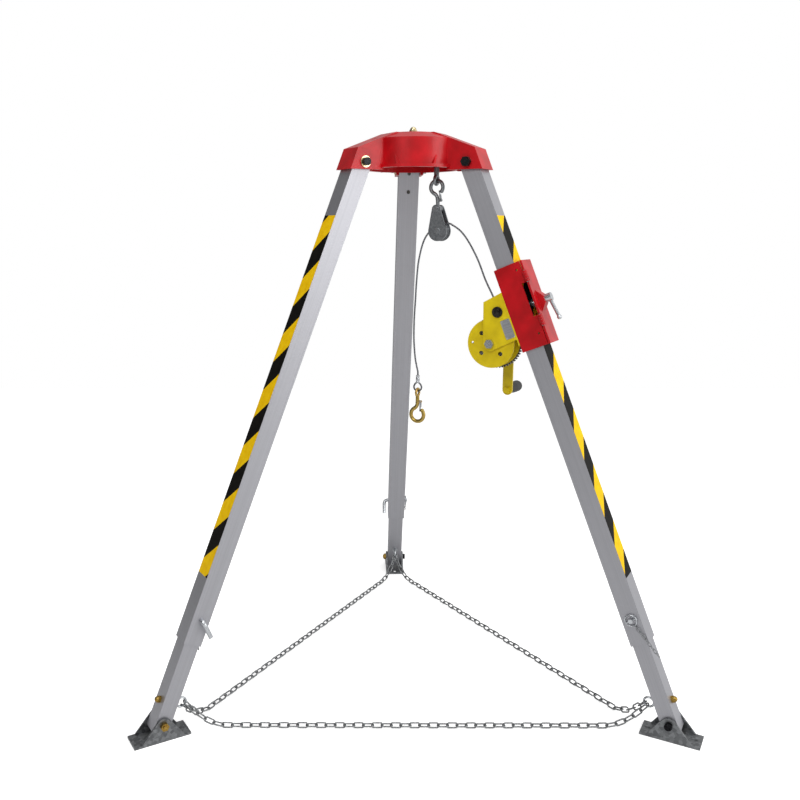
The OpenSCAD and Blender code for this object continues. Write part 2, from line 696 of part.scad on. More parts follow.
// Feet
module ear_outline() {
    low = -foot_pivot_height;
    heel = -foot_heel + ear_inset;
    toe = foot_toe - ear_inset;
    // Angles where straight lines from the lower corners touch the rounded top
    heel_turn = atan2(low, heel) - acos(ear_radius / norm([heel, low]));
    toe_turn = atan2(low, toe) + acos(ear_radius / norm([toe, low]));
    polygon(concat([[heel, low], [toe, low]], arc([0, 0], ear_radius, toe_turn, heel_turn + 360, 14)));
}
module slot_room() {
    reach = (slot_length - slot_width) / 2;
    translate([-reach, -slot_width / 2, 0]) cube([2 * reach, slot_width, foot_plate + 2]);
    for (x = [-reach, reach]) {
        translate([x, 0, 0]) cylinder(d = slot_width, h = foot_plate + 2);
    }
}
module foot(i) {
    color("gray") at_foot(i) difference() {
        union() {
            translate([-foot_heel, -foot_w / 2, -foot_pivot_height]) cube([foot_heel + foot_toe, foot_w, foot_plate]);
            plate(-foot_w / 2, foot_plate - foot_w / 2) ear_outline();
            plate(foot_w / 2 - foot_plate, foot_w / 2) ear_outline();
        }
        for (x = [slot_inset - foot_heel, foot_toe - slot_inset]) {
            translate([x, 0, -foot_pivot_height - 1]) slot_room();
        }
        across(foot_bolt_d + 2 * play, -foot_w, foot_w);
    }
}
module foot_bolt(i) {
    color("dimgray") at_foot(i) {
        union() {
            across(foot_bolt_d, -foot_w / 2 - seat, foot_w / 2 + 12);
            across(1.7 * foot_bolt_d, -foot_w / 2 - seat - 8, -foot_w / 2 - seat);
        }
        nut_across(1.9 * foot_bolt_d, foot_w / 2 + seat, foot_w / 2 + seat + 9, foot_bolt_d);
    }
}

// Floor chains
// The chains hang from the ring's lower inner part, one above the other
function eye_spot(i, side) = let (a = 22 * side - 20,
    x = -eye_out - eye_ring * cos(a), z = -eye_along + eye_ring * sin(a),
    u = pivot_radius + x * cos(lean) - z * sin(lean))
    [u * cos(leg_azimuth[i]), axis_y + u * sin(leg_azimuth[i]), pivot_height + x * sin(lean) + z * cos(lean)];
module floor_chain(i, j) {
    grip = link_pitch / 2 + link_wire - link_width / 2;
    rest = link_width / 2 + seat;
    from = eye_spot(i, 1);
    to = eye_spot(j, -1);
    flat = [to.x - from.x, to.y - from.y, 0];
    length = norm(flat);
    way = unit(flat);
    function fall(d, h) = d < chain_drop ? rest + (h - rest) * pow(1 - d / chain_drop, 2) : rest;
    function height(d) = max(fall(d, from.z), fall(length - d, to.z));
    places = [for (k = [0:12]) k * chain_drop / 12];
    spots = concat([for (d = places) d], [for (d = places) length - chain_drop + d]);
    path = [for (d = spots) [from.x + way.x * d, from.y + way.y * d, height(d)]];
    s = sums(steps(path));
    total = s[len(s) - 1];
    inner = [for (k = [0:120]) spot(s, path, grip + (total - 2 * grip) * k / 120)];
    color("silver") chain(inner, link_pitch, link_width, link_wire, 0.5);
}

// Winch clamp
module knuckles(first) {
    for (start = knuckle_starts, k = [first, first + 2]) {
        translate([hinge_x, hinge_y, -start - k * knuckle_step - knuckle_length]) children();
    }
}
module hinge_bores() {
    for (start = knuckle_starts) {
        translate([hinge_x, hinge_y, -start - 4 * knuckle_step - 2])
            cylinder(d = hinge_pin + 2 * play, h = 4 * knuckle_step + 4);
    }
}
module knuckle_room() {
    translate([0, 0, -knuckle_gap]) cylinder(r = knuckle_radius + knuckle_gap, h = knuckle_length + 2 * knuckle_gap);
}
module clamp_body() {
    window_start = knuckle_starts[0] + 4 * knuckle_step;
    window_end = knuckle_starts[1] - knuckle_gap;
    color("crimson") at_leg(2) difference() {
        union() {
            difference() {
                translate([-frame_in, -clamp_w / 2, -clamp_end])
                    cube([frame_in + door_in - door_edge, clamp_w, clamp_length]);
                translate([-clamp_in, clamp_side - clamp_w / 2, -clamp_end - 1])
                    cube([clamp_in + door_in, clamp_w - 2 * clamp_side, clamp_length + 2]);
                knuckles(1) knuckle_room();
            }
            knuckles(0) cylinder(r = knuckle_radius, h = knuckle_length);
        }
        translate([tube_d / 2 + 3, -clamp_w, -window_end])
            cube([door_stand + tube_d, clamp_w / 2 + clamp_side + 2, window_end - window_start]);
        for (along = [clamp_start + 20, clamp_end - 34]) {
            translate([tube_d / 2 + 2, 0, -along]) across(6, -clamp_w, 0);
        }
        hinge_bores();
        base_bolt_places() outward(8 + 2 * play, -frame_in - 1, 0);
    }
}
module clamp_door() {
    color("crimson") at_leg(2) difference() {
        union() {
            difference() {
                translate([door_in, -clamp_w / 2, -clamp_end]) cube([door_thick, clamp_w, clamp_length]);
                knuckles(0) knuckle_room();
            }
            knuckles(1) cylinder(r = knuckle_radius, h = knuckle_length);
            translate([0, 0, -screw_along]) plate(-screw_d, screw_d)
                polygon([[door_in, -boss_half], [door_in + door_thick, -boss_half],
                    [door_in + door_thick + boss_height, -boss_half / 3],
                    [door_in + door_thick + boss_height, boss_half / 3], [door_in + door_thick, boss_half],
                    [door_in, boss_half]]);
        }
        hinge_bores();
        translate([0, 0, -screw_along]) outward(screw_d + 2 * play, 0, 2 * door_in);
    }
}
module clamp_screw() {
    pad = tube_d / 2 + tape_thick + pad_gap;
    face = door_in + door_thick + boss_height + seat;
    color("silver") at_leg(2) translate([0, 0, -screw_along]) {
        union() {
            outward(1.7 * screw_d, pad, pad + 5);
            outward(screw_d, pad + 1, face + 1);
            outward(1.6 * screw_d, face, face + 16);
            translate([face + 9, 0, 0]) rotate([0, -8, 0]) {
                translate([0, 0, -lever_length]) cylinder(d = lever_d, h = lever_length);
                translate([0, 0, 2 - lever_length]) sphere(d = 1.4 * lever_d);
            }
        }
    }
}
module base_bolt_places() {
    for (along = [clamp_start + 66, drum_along + 20], y = [-14, 8]) {
        translate([0, y, -along]) children();
    }
}
module winch_bolts() {
    color("silver") at_leg(2) {
        for (start = knuckle_starts) {
            translate([hinge_x, hinge_y, -start - 4 * knuckle_step - 1]) cylinder(d = hinge_pin, h = 4 * knuckle_step + 2);
        }
        base_bolt_places() union() {
            outward(8, -frame_in - frame_plate, -clamp_in - seat);
            translate([-frame_in - frame_plate - 5, 0, 0]) rotate([0, 90, 0]) cylinder(d = 15, h = 5, $fn = 6);
        }
    }
}

// Winch
module frame_outline() {
    polygon(concat([[-frame_in, -drum_along - 14], [-frame_in, -clamp_start - 60], [-drum_out + 22, -clamp_start - 66]],
        arc([-drum_out, -drum_along], 20, 160, 290, 10)));
}
module winch_frame() {
    color("gold") at_leg(2) difference() {
        union() {
            for (y = [-clamp_w / 2, frame_inner]) {
                plate(y, y + frame_plate) frame_outline();
            }
            translate([-frame_in - frame_plate, -clamp_w / 2, -drum_along - 14 - 18])
                cube([frame_plate, clamp_w, drum_along + 32 - clamp_start - 60]);
        }
        translate([-drum_out, 0, -drum_along]) across(shaft_d + 2 * play, -clamp_w, clamp_w);
        translate([-pinion_out, 0, -pinion_along]) across(shaft_d + 2 * play, -clamp_w, clamp_w);
        base_bolt_places() outward(8 + 2 * play, -frame_in - frame_plate - 1, 0);
    }
}
module rope_drum() {
    bore = shaft_d / 2 + play;
    color("gold") at_drum() difference() {
        rotate([-90, 0, 0]) rotate_extrude($fn = 96)
            polygon([[bore, drum_low], [flange_radius, drum_low], [flange_radius, drum_low + flange_thick],
                [barrel_radius, drum_low + flange_thick], [barrel_radius, drum_high - flange_thick],
                [flange_radius, drum_high - flange_thick], [flange_radius, drum_high], [bore, drum_high]]);
        for (turn = [46, 136, 226, 316]) {
            rotate([0, -turn, 0]) translate([38, 0, 0]) across(12, drum_low - 1, drum_low + flange_thick + 1);
        }
        translate([-52, 0, 0]) across(7, drum_low - 1, drum_low + flange_thick + 1);
    }
}
module drum_gear() {
    color("dimgray") at_drum() translate([0, drum_high + gear_width, 0]) rotate([90, 0, 0]) difference() {
        linear_extrude(gear_width) rotate(gear_turn) gear_outline(wheel_teeth, gear_module, 0.9, 0.3);
        translate([0, 0, -1]) cylinder(d = shaft_d + 2 * play, h = gear_width + 2);
    }
}
module drum_shaft() {
    end = clamp_w / 2;
    color("silver") at_drum() {
        union() {
            across(shaft_d, -end - 4, end + shaft_nut);
            translate([0, -end - 10, 0]) rotate([-90, 0, 0]) cylinder(d = 1.6 * shaft_d, h = 10, $fn = 6);
        }
        nut_across(1.6 * shaft_d, end, end + shaft_nut, shaft_d);
    }
}
module pinion_shaft() {
    end = clamp_w / 2;
    color("dimgray") at_pinion() {
        across(shaft_d, -end - 7, crank_plane + crank_thick + 12);
        across(1.8 * shaft_d, -end - seat - 3, -end - seat);
        translate([0, drum_high + gear_width, 0]) rotate([90, 0, 0])
            linear_extrude(gear_width) rotate(gear_turn + 180 + 180 / pinion_teeth)
                gear_outline(pinion_teeth, gear_module, 0.9, 0.3);
    }
}
module crank_arm() {
    from = crank_plane;
    to = crank_plane + crank_thick;
    color("gold") at_pinion() {
        difference() {
            union() {
                translate([-crank_width / 2, from, -crank_length]) cube([crank_width, crank_thick, crank_length]);
                across(crank_width, from, to);
                translate([0, 0, -crank_length]) across(crank_width, from, to);
            }
            across(shaft_d + 2 * play, from - 1, to + 1);
            translate([0, 0, -crank_length]) across(10 + 2 * play, from - 1, to + 1);
        }
        nut_across(1.6 * shaft_d, to, to + 9, shaft_d);
        translate([0, 0, -crank_length]) union() {
            across(10, from, to + grip_length - 12);
            translate([0, from - 7, 0]) rotate([-90, 0, 0]) cylinder(d = 19, h = 7, $fn = 6);
        }
    }
}
module crank_grip() {
    base = crank_plane + crank_thick + seat;
    belly = grip_length - grip_radius;
    color("black") at_pinion() translate([0, base, -crank_length]) rotate([-90, 0, 0]) difference() {
        rotate_extrude() polygon(concat([[0, 0], [0.6 * grip_radius, 0], [0.75 * grip_radius, 0.2 * belly],
            [0.94 * grip_radius, 0.6 * belly]], arc([0, belly], grip_radius, 0, 85, 8), [[0, grip_length]]));
        translate([0, 0, -1]) cylinder(d = 10 + 2 * play, h = grip_length - 11 + 1);
    }
}

// Hooks: a bowl of wire over the top, open on one side, that bends back to a straight shank below
module forged_hook(bowl, wire, shank) {
    tip = -40;
    cut = 2;
    knot = wire + 0.8;
    low = -bowl * hook_rise;
    rotate([90, 0, 0]) rotate(tip)
        rotate_extrude(angle = 240 - tip - cut) translate([bowl, 0]) circle(d = wire, $fn = 24);
    translate([-bowl, 0, low]) rotate([90, 0, 0]) rotate(cut)
        rotate_extrude(angle = 60 - 2 * cut) translate([bowl, 0]) circle(d = wire, $fn = 24);
    translate([0, 0, low - shank]) cylinder(d = wire, h = shank - cut / 4, $fn = 24);
    // A slight swelling of the forging at each change of bend
    translate([bowl * cos(tip), 0, bowl * sin(tip)]) sphere(d = knot, $fn = 24);
    translate([-bowl / 2, 0, low / 2]) sphere(d = knot, $fn = 24);
    translate([0, 0, low]) sphere(d = knot, $fn = 24);
}
// Lug on the shank that carries the latch's pin
function latch_x(wire) = wire / 2 + 4.5;
function latch_z(bowl) = -bowl * hook_rise - 4;
module latch_lug(bowl, wire) {
    translate([latch_x(wire), 0, latch_z(bowl)]) {
        across(2 * latch_pin, -lug_thick / 2, lug_thick / 2);
        translate([-latch_x(wire), -lug_thick / 2, -latch_pin]) cube([latch_x(wire), lug_thick, 2 * latch_pin]);
        across(latch_pin, -lug_thick / 2 - seat - latch_plate, lug_thick / 2 + seat + latch_plate);
    }
}
// Sprung tongue that closes the hook's mouth, with a cheek on each side of the lug
module latch(bowl, wire) {
    tip = [bowl * cos(40) - latch_x(wire), -bowl * sin(40) - latch_z(bowl)];
    room = wire / 2 + 0.4 + seat;
    turn = asin(room / norm(tip)) - atan2(tip.x, tip.y);
    length = sqrt(pow(norm(tip), 2) - pow(room, 2)) + 3;
    inner = lug_thick / 2 + seat;
    translate([latch_x(wire), 0, latch_z(bowl)]) rotate([0, -turn, 0]) difference() {
        union() {
            for (y = [-inner - latch_plate, inner]) {
                across_plate(y, y + latch_plate, 0.6 * length);
            }
            translate([-latch_plate, -inner - latch_plate, latch_pin + 1])
                cube([latch_plate, 2 * inner + 2 * latch_plate, length - latch_pin - 1]);
        }
        across(latch_pin + 2 * play, -10, 10);
    }
}
module across_plate(from, to, length) {
    across(1.8 * latch_pin, from, to);
    translate([-latch_plate, from, 0]) cube([latch_plate + 1.6, to - from, length]);
}

// Pulley block
block_z = anchor_wire / 2 + seat + block_wire / 2 - anchor_ring - block_bowl;
pin_z = -sheave_drop + cheek_length;
module block_hook() {
    color("dimgray") at_block() difference() {
        union() {
            translate([0, 0, block_z]) forged_hook(block_bowl, block_wire, -pin_z + block_z - block_bowl * hook_rise);
            translate([0, 0, block_z]) latch_lug(block_bowl, block_wire);
            translate([0, 0, pin_z]) across(2 * cheek_top_radius - 4, -sheave_width / 2, sheave_width / 2);
        }
        translate([0, 0, pin_z]) across(axle_d + 2 * play, -sheave_width, sheave_width);
    }
}
module block_latch() {
    color("silver") at_block() translate([0, 0, block_z]) latch(block_bowl, block_wire);
}
module cheek_outline() {
    // A taper that touches the small circle above and the large one below
    touch = asin((cheek_radius - cheek_top_radius) / cheek_length);
    polygon(concat(arc([0, 0], cheek_top_radius, touch, 180 - touch, 12),
        arc([0, -cheek_length], cheek_radius, 180 - touch, 360 + touch, 24)));
}
module block_cheeks() {
    color("gray") at_block() translate([0, 0, pin_z]) {
        for (y = [-cheek_offset - cheek_thick, cheek_offset]) {
            difference() {
                plate(y, y + cheek_thick) cheek_outline();
                across(axle_d + 2 * play, -sheave_width, sheave_width);
                translate([0, 0, -cheek_length]) across(axle_d + 2 * play, -sheave_width, sheave_width);
            }
        }
    }
}
module block_sheave() {
    half = sheave_width / 2;
    bore = axle_d / 2 + play;
    dip = sheave_radius - groove_radius;
    color("silver") at_block() translate([0, 0, -sheave_drop]) rotate([-90, 0, 0]) rotate_extrude($fn = 64)
        polygon(concat([[bore, -half], [sheave_radius, -half]],
            arc([sheave_radius, 0], dip, 270, 90, 12), [[sheave_radius, half], [bore, half]]));
}
module sheave_axle() {
    outer = cheek_offset + cheek_thick;
    color("silver") at_block() {
        for (z = [pin_z, -sheave_drop]) {
            translate([0, 0, z]) {
                across(axle_d, -outer, outer);
                across(1.5 * axle_d, -outer - 3, -outer);
                across(1.5 * axle_d, outer, outer + 3);
            }
        }
    }
}

// Load hook and the rope's end
module load_hook() {
    color("darkgoldenrod") at_head(2) translate([hook_u, 0, hook_z]) mirror([0, 0, 1]) {
        forged_hook(hook_bowl, hook_wire, hook_shank);
        latch_lug(hook_bowl, hook_wire);
        translate([0, 0, hook_z - hook_eye_z]) rotate(90) ring(hook_eye, hook_eye_wire);
    }
}
module hook_latch() {
    color("silver") at_head(2) translate([hook_u, 0, hook_z]) mirror([0, 0, 1]) latch(hook_bowl, hook_wire);
}
module rope_end() {
    color("silver") at_head(2) translate([hook_u, 0, 0]) {
        translate([0, 0, thimble_z]) ring(thimble_ring, thimble_wire);
        translate([0, 0, ferrule_z]) cylinder(d = ferrule_d, h = ferrule_length);
    }
}

// Rope
module rope_coil() {
    color("dimgray") at_drum() difference() {
        rotate([-90, 0, 0]) translate([0, 0, drum_low + flange_thick + seat]) cylinder(r = core_radius, h = drum_width - 2 * seat);
        across(2 * barrel_radius + 2 * seat, drum_low - 1, drum_high + 1);
    }
    color("dimgray") at_drum() tube(coil_path, rope_d, 6);
}
coil_steps = 24;
coil_loops = [for (k = [0:coil_steps * rope_turns]) let (a = -360 * k / coil_steps)
    [coil_radius * cos(a), coil_start + coil_pitch * k / coil_steps, coil_radius * sin(a)]];
coil_path = concat([[coil_radius, coil_start, 2 * rope_d], [coil_radius, coil_start, rope_d]], coil_loops,
    [coil_loops[coil_steps * rope_turns] - [0, 0, rope_d]]);
coil_far = [for (i = [0:len(coil_path) - 1], j = [i + 1:len(coil_path) - 1]) if (j - i > coil_steps / 2)
    norm(coil_path[j] - coil_path[i])];
echo("rope coil, least gap to itself, mm", min(coil_far) - rope_d);
module rope_lift() {
    color("dimgray") at_head(2) tube(lift_path, rope_d, 8);
}
module rope_fall() {
    color("dimgray") at_head(2) tube(fall_path, rope_d, 8);
}

head_casting();
pivot_bolts();
pivot_bushes();
top_nut();
anchor_eye();
floor_chain(1, 2);  // floor_chain_front
floor_chain(2, 0);  // floor_chain_right
floor_chain(0, 1);  // floor_chain_left
upper_tube(0);  // upper_tube_rear
upper_tube(1);  // upper_tube_left
upper_tube(2);  // upper_tube_right
leg_insert(0);  // leg_insert_rear
leg_insert(1);  // leg_insert_left
leg_insert(2);  // leg_insert_right
hazard_tape(0);  // hazard_tape_rear
hazard_tape(1);  // hazard_tape_left
hazard_tape(2);  // hazard_tape_right
lower_tube(0);  // lower_tube_rear
lower_tube(1);  // lower_tube_left
lower_tube(2);  // lower_tube_right
lock_pin(0);  // lock_pin_rear
lock_pin(1);  // lock_pin_left
lock_pin(2);  // lock_pin_right
linch_pin(0);  // linch_pin_rear
linch_pin(1);  // linch_pin_left
linch_pin(2);  // linch_pin_right
keeper_chain(0);  // keeper_chain_rear
keeper_chain(1);  // keeper_chain_left
keeper_chain(2);  // keeper_chain_right
eye_bolt(0);  // eye_bolt_rear
eye_bolt(1);  // eye_bolt_left
eye_bolt(2);  // eye_bolt_right
foot(0);  // foot_rear
foot(1);  // foot_left
foot(2);  // foot_right
foot_bolt(0);  // foot_bolt_rear
foot_bolt(1);  // foot_bolt_left
foot_bolt(2);  // foot_bolt_right
clamp_body();
clamp_door();
clamp_screw();
winch_bolts();
winch_frame();
rope_drum();
drum_gear();
drum_shaft();
pinion_shaft();
crank_arm();
crank_grip();
block_hook();
block_latch();
block_cheeks();
block_sheave();
sheave_axle();
load_hook();
hook_latch();
rope_end();
rope_coil();
rope_lift();
rope_fall();
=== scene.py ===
# %% [markdown]
# # A rescue tripod, dressed for its portrait
# The solids of this tripod come from a imported model in metres, with the floor at zero. Blender adds what
# solids can't show: paint, metal, tape and a stranded wire rope. Nothing here moves a solid, because every
# solid sits where its joint expects it. This first cell loads the solids.

# %% Load the solids
import json
import math
import bmesh
import bpy
from mathutils import Matrix, Vector


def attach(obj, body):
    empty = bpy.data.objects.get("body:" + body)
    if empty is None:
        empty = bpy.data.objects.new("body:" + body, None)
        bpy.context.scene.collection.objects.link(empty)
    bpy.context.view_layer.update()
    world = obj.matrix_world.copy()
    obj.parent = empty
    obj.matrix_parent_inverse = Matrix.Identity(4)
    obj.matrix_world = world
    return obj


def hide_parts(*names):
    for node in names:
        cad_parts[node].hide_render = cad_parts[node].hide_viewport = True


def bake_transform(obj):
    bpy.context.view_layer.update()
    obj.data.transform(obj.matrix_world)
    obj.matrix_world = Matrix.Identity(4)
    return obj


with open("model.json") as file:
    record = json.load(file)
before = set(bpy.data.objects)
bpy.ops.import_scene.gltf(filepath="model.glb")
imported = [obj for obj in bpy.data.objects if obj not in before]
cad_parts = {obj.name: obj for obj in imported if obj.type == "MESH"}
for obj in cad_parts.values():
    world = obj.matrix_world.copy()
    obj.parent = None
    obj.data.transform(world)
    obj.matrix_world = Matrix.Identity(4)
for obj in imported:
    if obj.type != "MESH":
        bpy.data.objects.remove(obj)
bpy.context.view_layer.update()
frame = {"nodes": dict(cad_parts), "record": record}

# %% [markdown]
# ## Where the legs stand
# Three legs stand at even thirds round the head's axis and lean outwards. Tape, brushed lines and the
# winch's plate all follow a leg, so each leg gets a frame of its own: X out of the leg, Y across it and Z
# up along it. The joints in the record give the pivots, so no size is typed twice.

# %% Leg frames
joints = {j["name"]: j for j in frame["record"]["behaviour"]["joints"]}
bearing = {"rear": 90, "left": 210, "right": 330}
leg_frame = {}
for leg, degrees in bearing.items():
    pivot = Vector(joints[f"leg_fold_{leg}"]["pos_m"])
    foot = Vector(joints[f"foot_tilt_{leg}"]["pos_m"])
    run = math.hypot(foot.x - pivot.x, foot.y - pivot.y)
    lean = math.atan2(run, pivot.z - foot.z)
    leg_frame[leg] = {"pivot": pivot, "foot": foot, "turn": (0.0, -lean, math.radians(degrees))}
head_axis = sum((leg_frame[leg]["pivot"] for leg in bearing), Vector()) / 3


def on_leg(leg):
    turn = leg_frame[leg]["turn"]
    return (Matrix.Translation(leg_frame[leg]["pivot"]) @ Matrix.Rotation(turn[2], 4, "Z")
            @ Matrix.Rotation(turn[1], 4, "Y"))


print("lean", round(math.degrees(lean), 2), "degrees, head axis at", [round(v, 4) for v in head_axis])

# %% [markdown]
# ## Camera
# The picture was taken from a little left of the middle, at shoulder height, looking slightly down. Both
# front feet lie at the same height in it, so the camera faces the tripod squarely, and a small lens shift
# frames it off centre. The legs' spread fixes the distance, and the rear leg's lower pivot fixes the
# height.

# %% Set the camera
lens_px, image_px, sensor_mm = 862, 800, 36
camera_left, camera_away, camera_height = 0.168, 2.4497, 1.3073
look_down, frame_shift = 0.1938, 0.0604
camera_data = bpy.data.cameras.new("portrait_camera")
camera_data.sensor_width = sensor_mm
camera_data.lens = sensor_mm * lens_px / image_px
camera_data.shift_x = frame_shift
camera = bpy.data.objects.new("portrait_camera", camera_data)
camera.location = (-camera_left, head_axis.y - camera_away, camera_height)
camera.rotation_euler = (math.pi / 2 - look_down, 0, 0)
bpy.context.scene.collection.objects.link(camera)
bpy.context.scene.camera = camera
print("lens", round(camera_data.lens, 2), "mm")

# %% [markdown]
# ## The rope's route
# Wire rope runs from the winch drum up to the pulley and down to the hook. It is stiff, so the slack length
# bows outwards instead of falling in a limp curve. The route repeats the points of the solids, as distance
# from the head's axis, offset across and height, and a smooth curve joins them.

# %% Route of the rope
across_plane = math.radians(bearing["right"])
MM = 0.001


def in_plane(u, t, z):
    return Vector((u * math.cos(across_plane) - t * math.sin(across_plane),
                   head_axis.y / MM + u * math.sin(across_plane) + t * math.cos(across_plane), z)) * MM


def bow(a, b, c, d, t):
    return (b + t * (c - a) / 2 + t * t * (a - 2.5 * b + 2 * c - d / 2)
            + t * t * t * (1.5 * (b - c) + (d - a) / 2))


def smooth(points, steps):
    points = [Vector(p) for p in points]
    last = len(points) - 1
    out = []
    for i in range(last):
        ends = [points[max(i - 1, 0)], points[i], points[i + 1], points[min(i + 2, last)]]
        out += [bow(*ends, k / steps) for k in range(steps)]
    return out + [points[last]]


def along_route(points, spacing):
    lengths = [0.0]
    for a, b in zip(points, points[1:]):
        lengths.append(lengths[-1] + (b - a).length)
    count = max(2, round(lengths[-1] / spacing))
    out, j = [], 0
    for k in range(count + 1):
        s = lengths[-1] * k / count
        while j < len(points) - 2 and lengths[j + 1] < s:
            j += 1
        part = (s - lengths[j]) / max(lengths[j + 1] - lengths[j], 1e-9)
        out.append(points[j].lerp(points[j + 1], min(1.0, part)))
    return out, lengths[-1]


rope_d, curve_steps, straight_end, join_half = 5.0, 12, 10, 6
coil_radius, coil_start, coil_pitch, coil_turns = 42.1, -23.2, 36.4 / 6, 6
drum = Vector(joints["drum_turn"]["pos_m"]) / MM
drum_u = math.hypot(drum.x, drum.y - head_axis.y / MM)
drum_z = drum.z
lift_end = Vector((drum_u + coil_radius, coil_start, drum_z + 2 * rope_d))
rope_join = Vector((112, 0, 1327))
join_way = Vector((10, 0, -3)).normalized()
winch_top = Vector((248, -12, 1138))
lift_points = [rope_join + join_half * join_way, (146, 0, 1307), (171, -1, 1278), (200, -4, 1231),
               (225, -8, 1178), winch_top, (256, -14, 1120), (259, -16, 1102), (260.5, -17.5, 1088),
               (266, -19.5, 1073), (275, -21.5, 1063), (285, -22.8, 1055), (291.5, -23.2, 1046.5),
               (294.8, -23.2, 1038), lift_end + Vector((0, 0, straight_end))]
lift_route = [rope_join] + smooth(lift_points, curve_steps) + [lift_end]
sheave = Vector(joints["sheave_turn"]["pos_m"]) / MM
sheave_u = math.hypot(sheave.x, sheave.y - head_axis.y / MM)
rope_bend, sheave_wrap = 21.3, (90, 107, 124, 140)
over_sheave = [Vector((sheave_u + rope_bend * math.cos(math.radians(a)), 0,
                       sheave.z + rope_bend * math.sin(math.radians(a)))) for a in sheave_wrap]
thimble_low = Vector(joints["hook_swing"]["pos_m"]) / MM
ferrule_rise, ferrule_length, hook_u = 24, 22, 25
ferrule_low = thimble_low.z + ferrule_rise
fall_end = Vector((hook_u, 0, ferrule_low + ferrule_length))
below_block = Vector((39, 0, 1284))
fall_points = [rope_join - join_half * join_way, *over_sheave, below_block, (23, 0, 1229), (17, 0, 1173),
               (14, 0, 1117), (11, 0, 1060), (11, 0, 1003), (16, 0, 950),
               fall_end + Vector((0, 0, straight_end))]
fall_route = [rope_join] + smooth(fall_points, curve_steps) + [fall_end]
print("drum at", round(drum_u, 1), round(drum_z, 1), "sheave at", round(sheave_u, 1), round(sheave.z, 1))

# %% [markdown]
# ## Stranded wire
# A wire rope is six strands laid round a core. A round tube with a striped bump would look flat where light
# grazes it, so the tube's section itself has six lobes, and each ring is turned a little further than the
# last. One turn of the lay takes about six and a half rope diameters.

# %% Build a stranded tube
def strand_section(diameter, points_per_strand):
    seat, strand = diameter / 3, diameter / 6
    out = []
    for k in range(6):
        for j in range(points_per_strand):
            off = math.radians(-30 + 60 * j / points_per_strand)
            reach = seat * math.cos(off) + math.sqrt(max(0.0, strand ** 2 - (seat * math.sin(off)) ** 2))
            turn = math.radians(60 * k) + off
            out.append((reach * math.cos(turn), reach * math.sin(turn)))
    return out


def stranded_tube(name, route, diameter, spacing, points_per_strand=6, lay=32.0):
    points, length = along_route(route, spacing)
    section = strand_section(diameter, points_per_strand)
    mesh = bmesh.new()
    side, rings = None, []
    for i, p in enumerate(points):
        way = (points[min(i + 1, len(points) - 1)] - points[max(i - 1, 0)]).normalized()
        side = way.orthogonal() if side is None else side
        side = (side - way * side.dot(way)).normalized()
        up = way.cross(side)
        turn = 2 * math.pi * length * i / (len(points) - 1) / lay
        ring = []
        for x, y in section:
            a = x * math.cos(turn) - y * math.sin(turn)
            b = x * math.sin(turn) + y * math.cos(turn)
            ring.append(mesh.verts.new((p + side * a + up * b) * MM))
        rings.append(ring)
    for low, high in zip(rings, rings[1:]):
        for k in range(len(section)):
            mesh.faces.new((low[k], low[(k + 1) % len(section)], high[(k + 1) % len(section)], high[k]))
    mesh.faces.new(list(reversed(rings[0])))
    mesh.faces.new(rings[-1])
    bmesh.ops.recalc_face_normals(mesh, faces=mesh.faces)
    data = bpy.data.meshes.new(name)
    mesh.to_mesh(data)
    mesh.free()
    data.shade_smooth()
    piece = bpy.data.objects.new(name, data)
    bpy.context.scene.collection.objects.link(piece)
    print(name, round(length), "mm,", len(data.polygons), "faces")
    return piece, [p * MM for p in points], length * MM


def to_world(route):
    return [in_plane(*p) / MM for p in route]


ring_spacing = 1.6
lift_route.reverse()
lift_rope, lift_line, lift_length = stranded_tube("lift_rope", to_world(lift_route), rope_d, ring_spacing)
fall_rope, fall_line, fall_length = stranded_tube("fall_rope", to_world(fall_route), rope_d, ring_spacing)
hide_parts("rope_lift")
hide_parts("rope_fall")
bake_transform(lift_rope)
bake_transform(fall_rope)

# %% [markdown]
# ## Rope on the drum
# The drum carries several layers. Only the outer layer and the one just under it can be seen, so both are
# wound as stranded rope, and the lower one fills the gaps between the outer turns.

# %% Wind the drum
def drum_point(radius, turn, t):
    return in_plane(drum_u + radius * math.cos(turn), t, drum_z + radius * math.sin(turn)) / MM


steps_per_turn, outer_spacing, under_spacing = 72, 2.0, 3.0
under_drop, under_pitch, under_turns = 5.1, 5.2, 7


def winding(radius, start, pitch, turns):
    shares = [k / steps_per_turn for k in range(turns * steps_per_turn + 1)]
    return [drum_point(radius, -2 * math.pi * share, start + pitch * share) for share in shares]


outer_route = winding(coil_radius, coil_start, coil_pitch, coil_turns)
outer_route.insert(0, in_plane(*lift_end) / MM)
drum_rope, _, drum_length = stranded_tube("drum_rope", outer_route, rope_d, outer_spacing)
under_route = winding(coil_radius - under_drop, coil_start, under_pitch, under_turns)
under_rope, _, _ = stranded_tube("drum_rope_under", under_route, rope_d, under_spacing, points_per_strand=4)
for piece in (drum_rope, under_rope):
    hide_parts("rope_coil")
    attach(piece, "drum")
print("rope on show:", round(lift_length + fall_length + drum_length, 3), "m")

# %% [markdown]
# ## Rope's end
# The rope turns back on itself in an eye that holds the hook, and a pressed ferrule keeps the eye closed.
# The eye is the same stranded tube on a drop-shaped route. The ferrule starts as a cylinder. Bisecting adds
# rings of edges, the rings where the press bit are drawn in, and the rims are rounded by a bevel.

# %% Eye and ferrule
def start_fresh():
    if bpy.context.object and bpy.context.object.mode != "OBJECT":
        bpy.ops.object.mode_set(mode="OBJECT")
    bpy.ops.object.select_all(action="DESELECT")


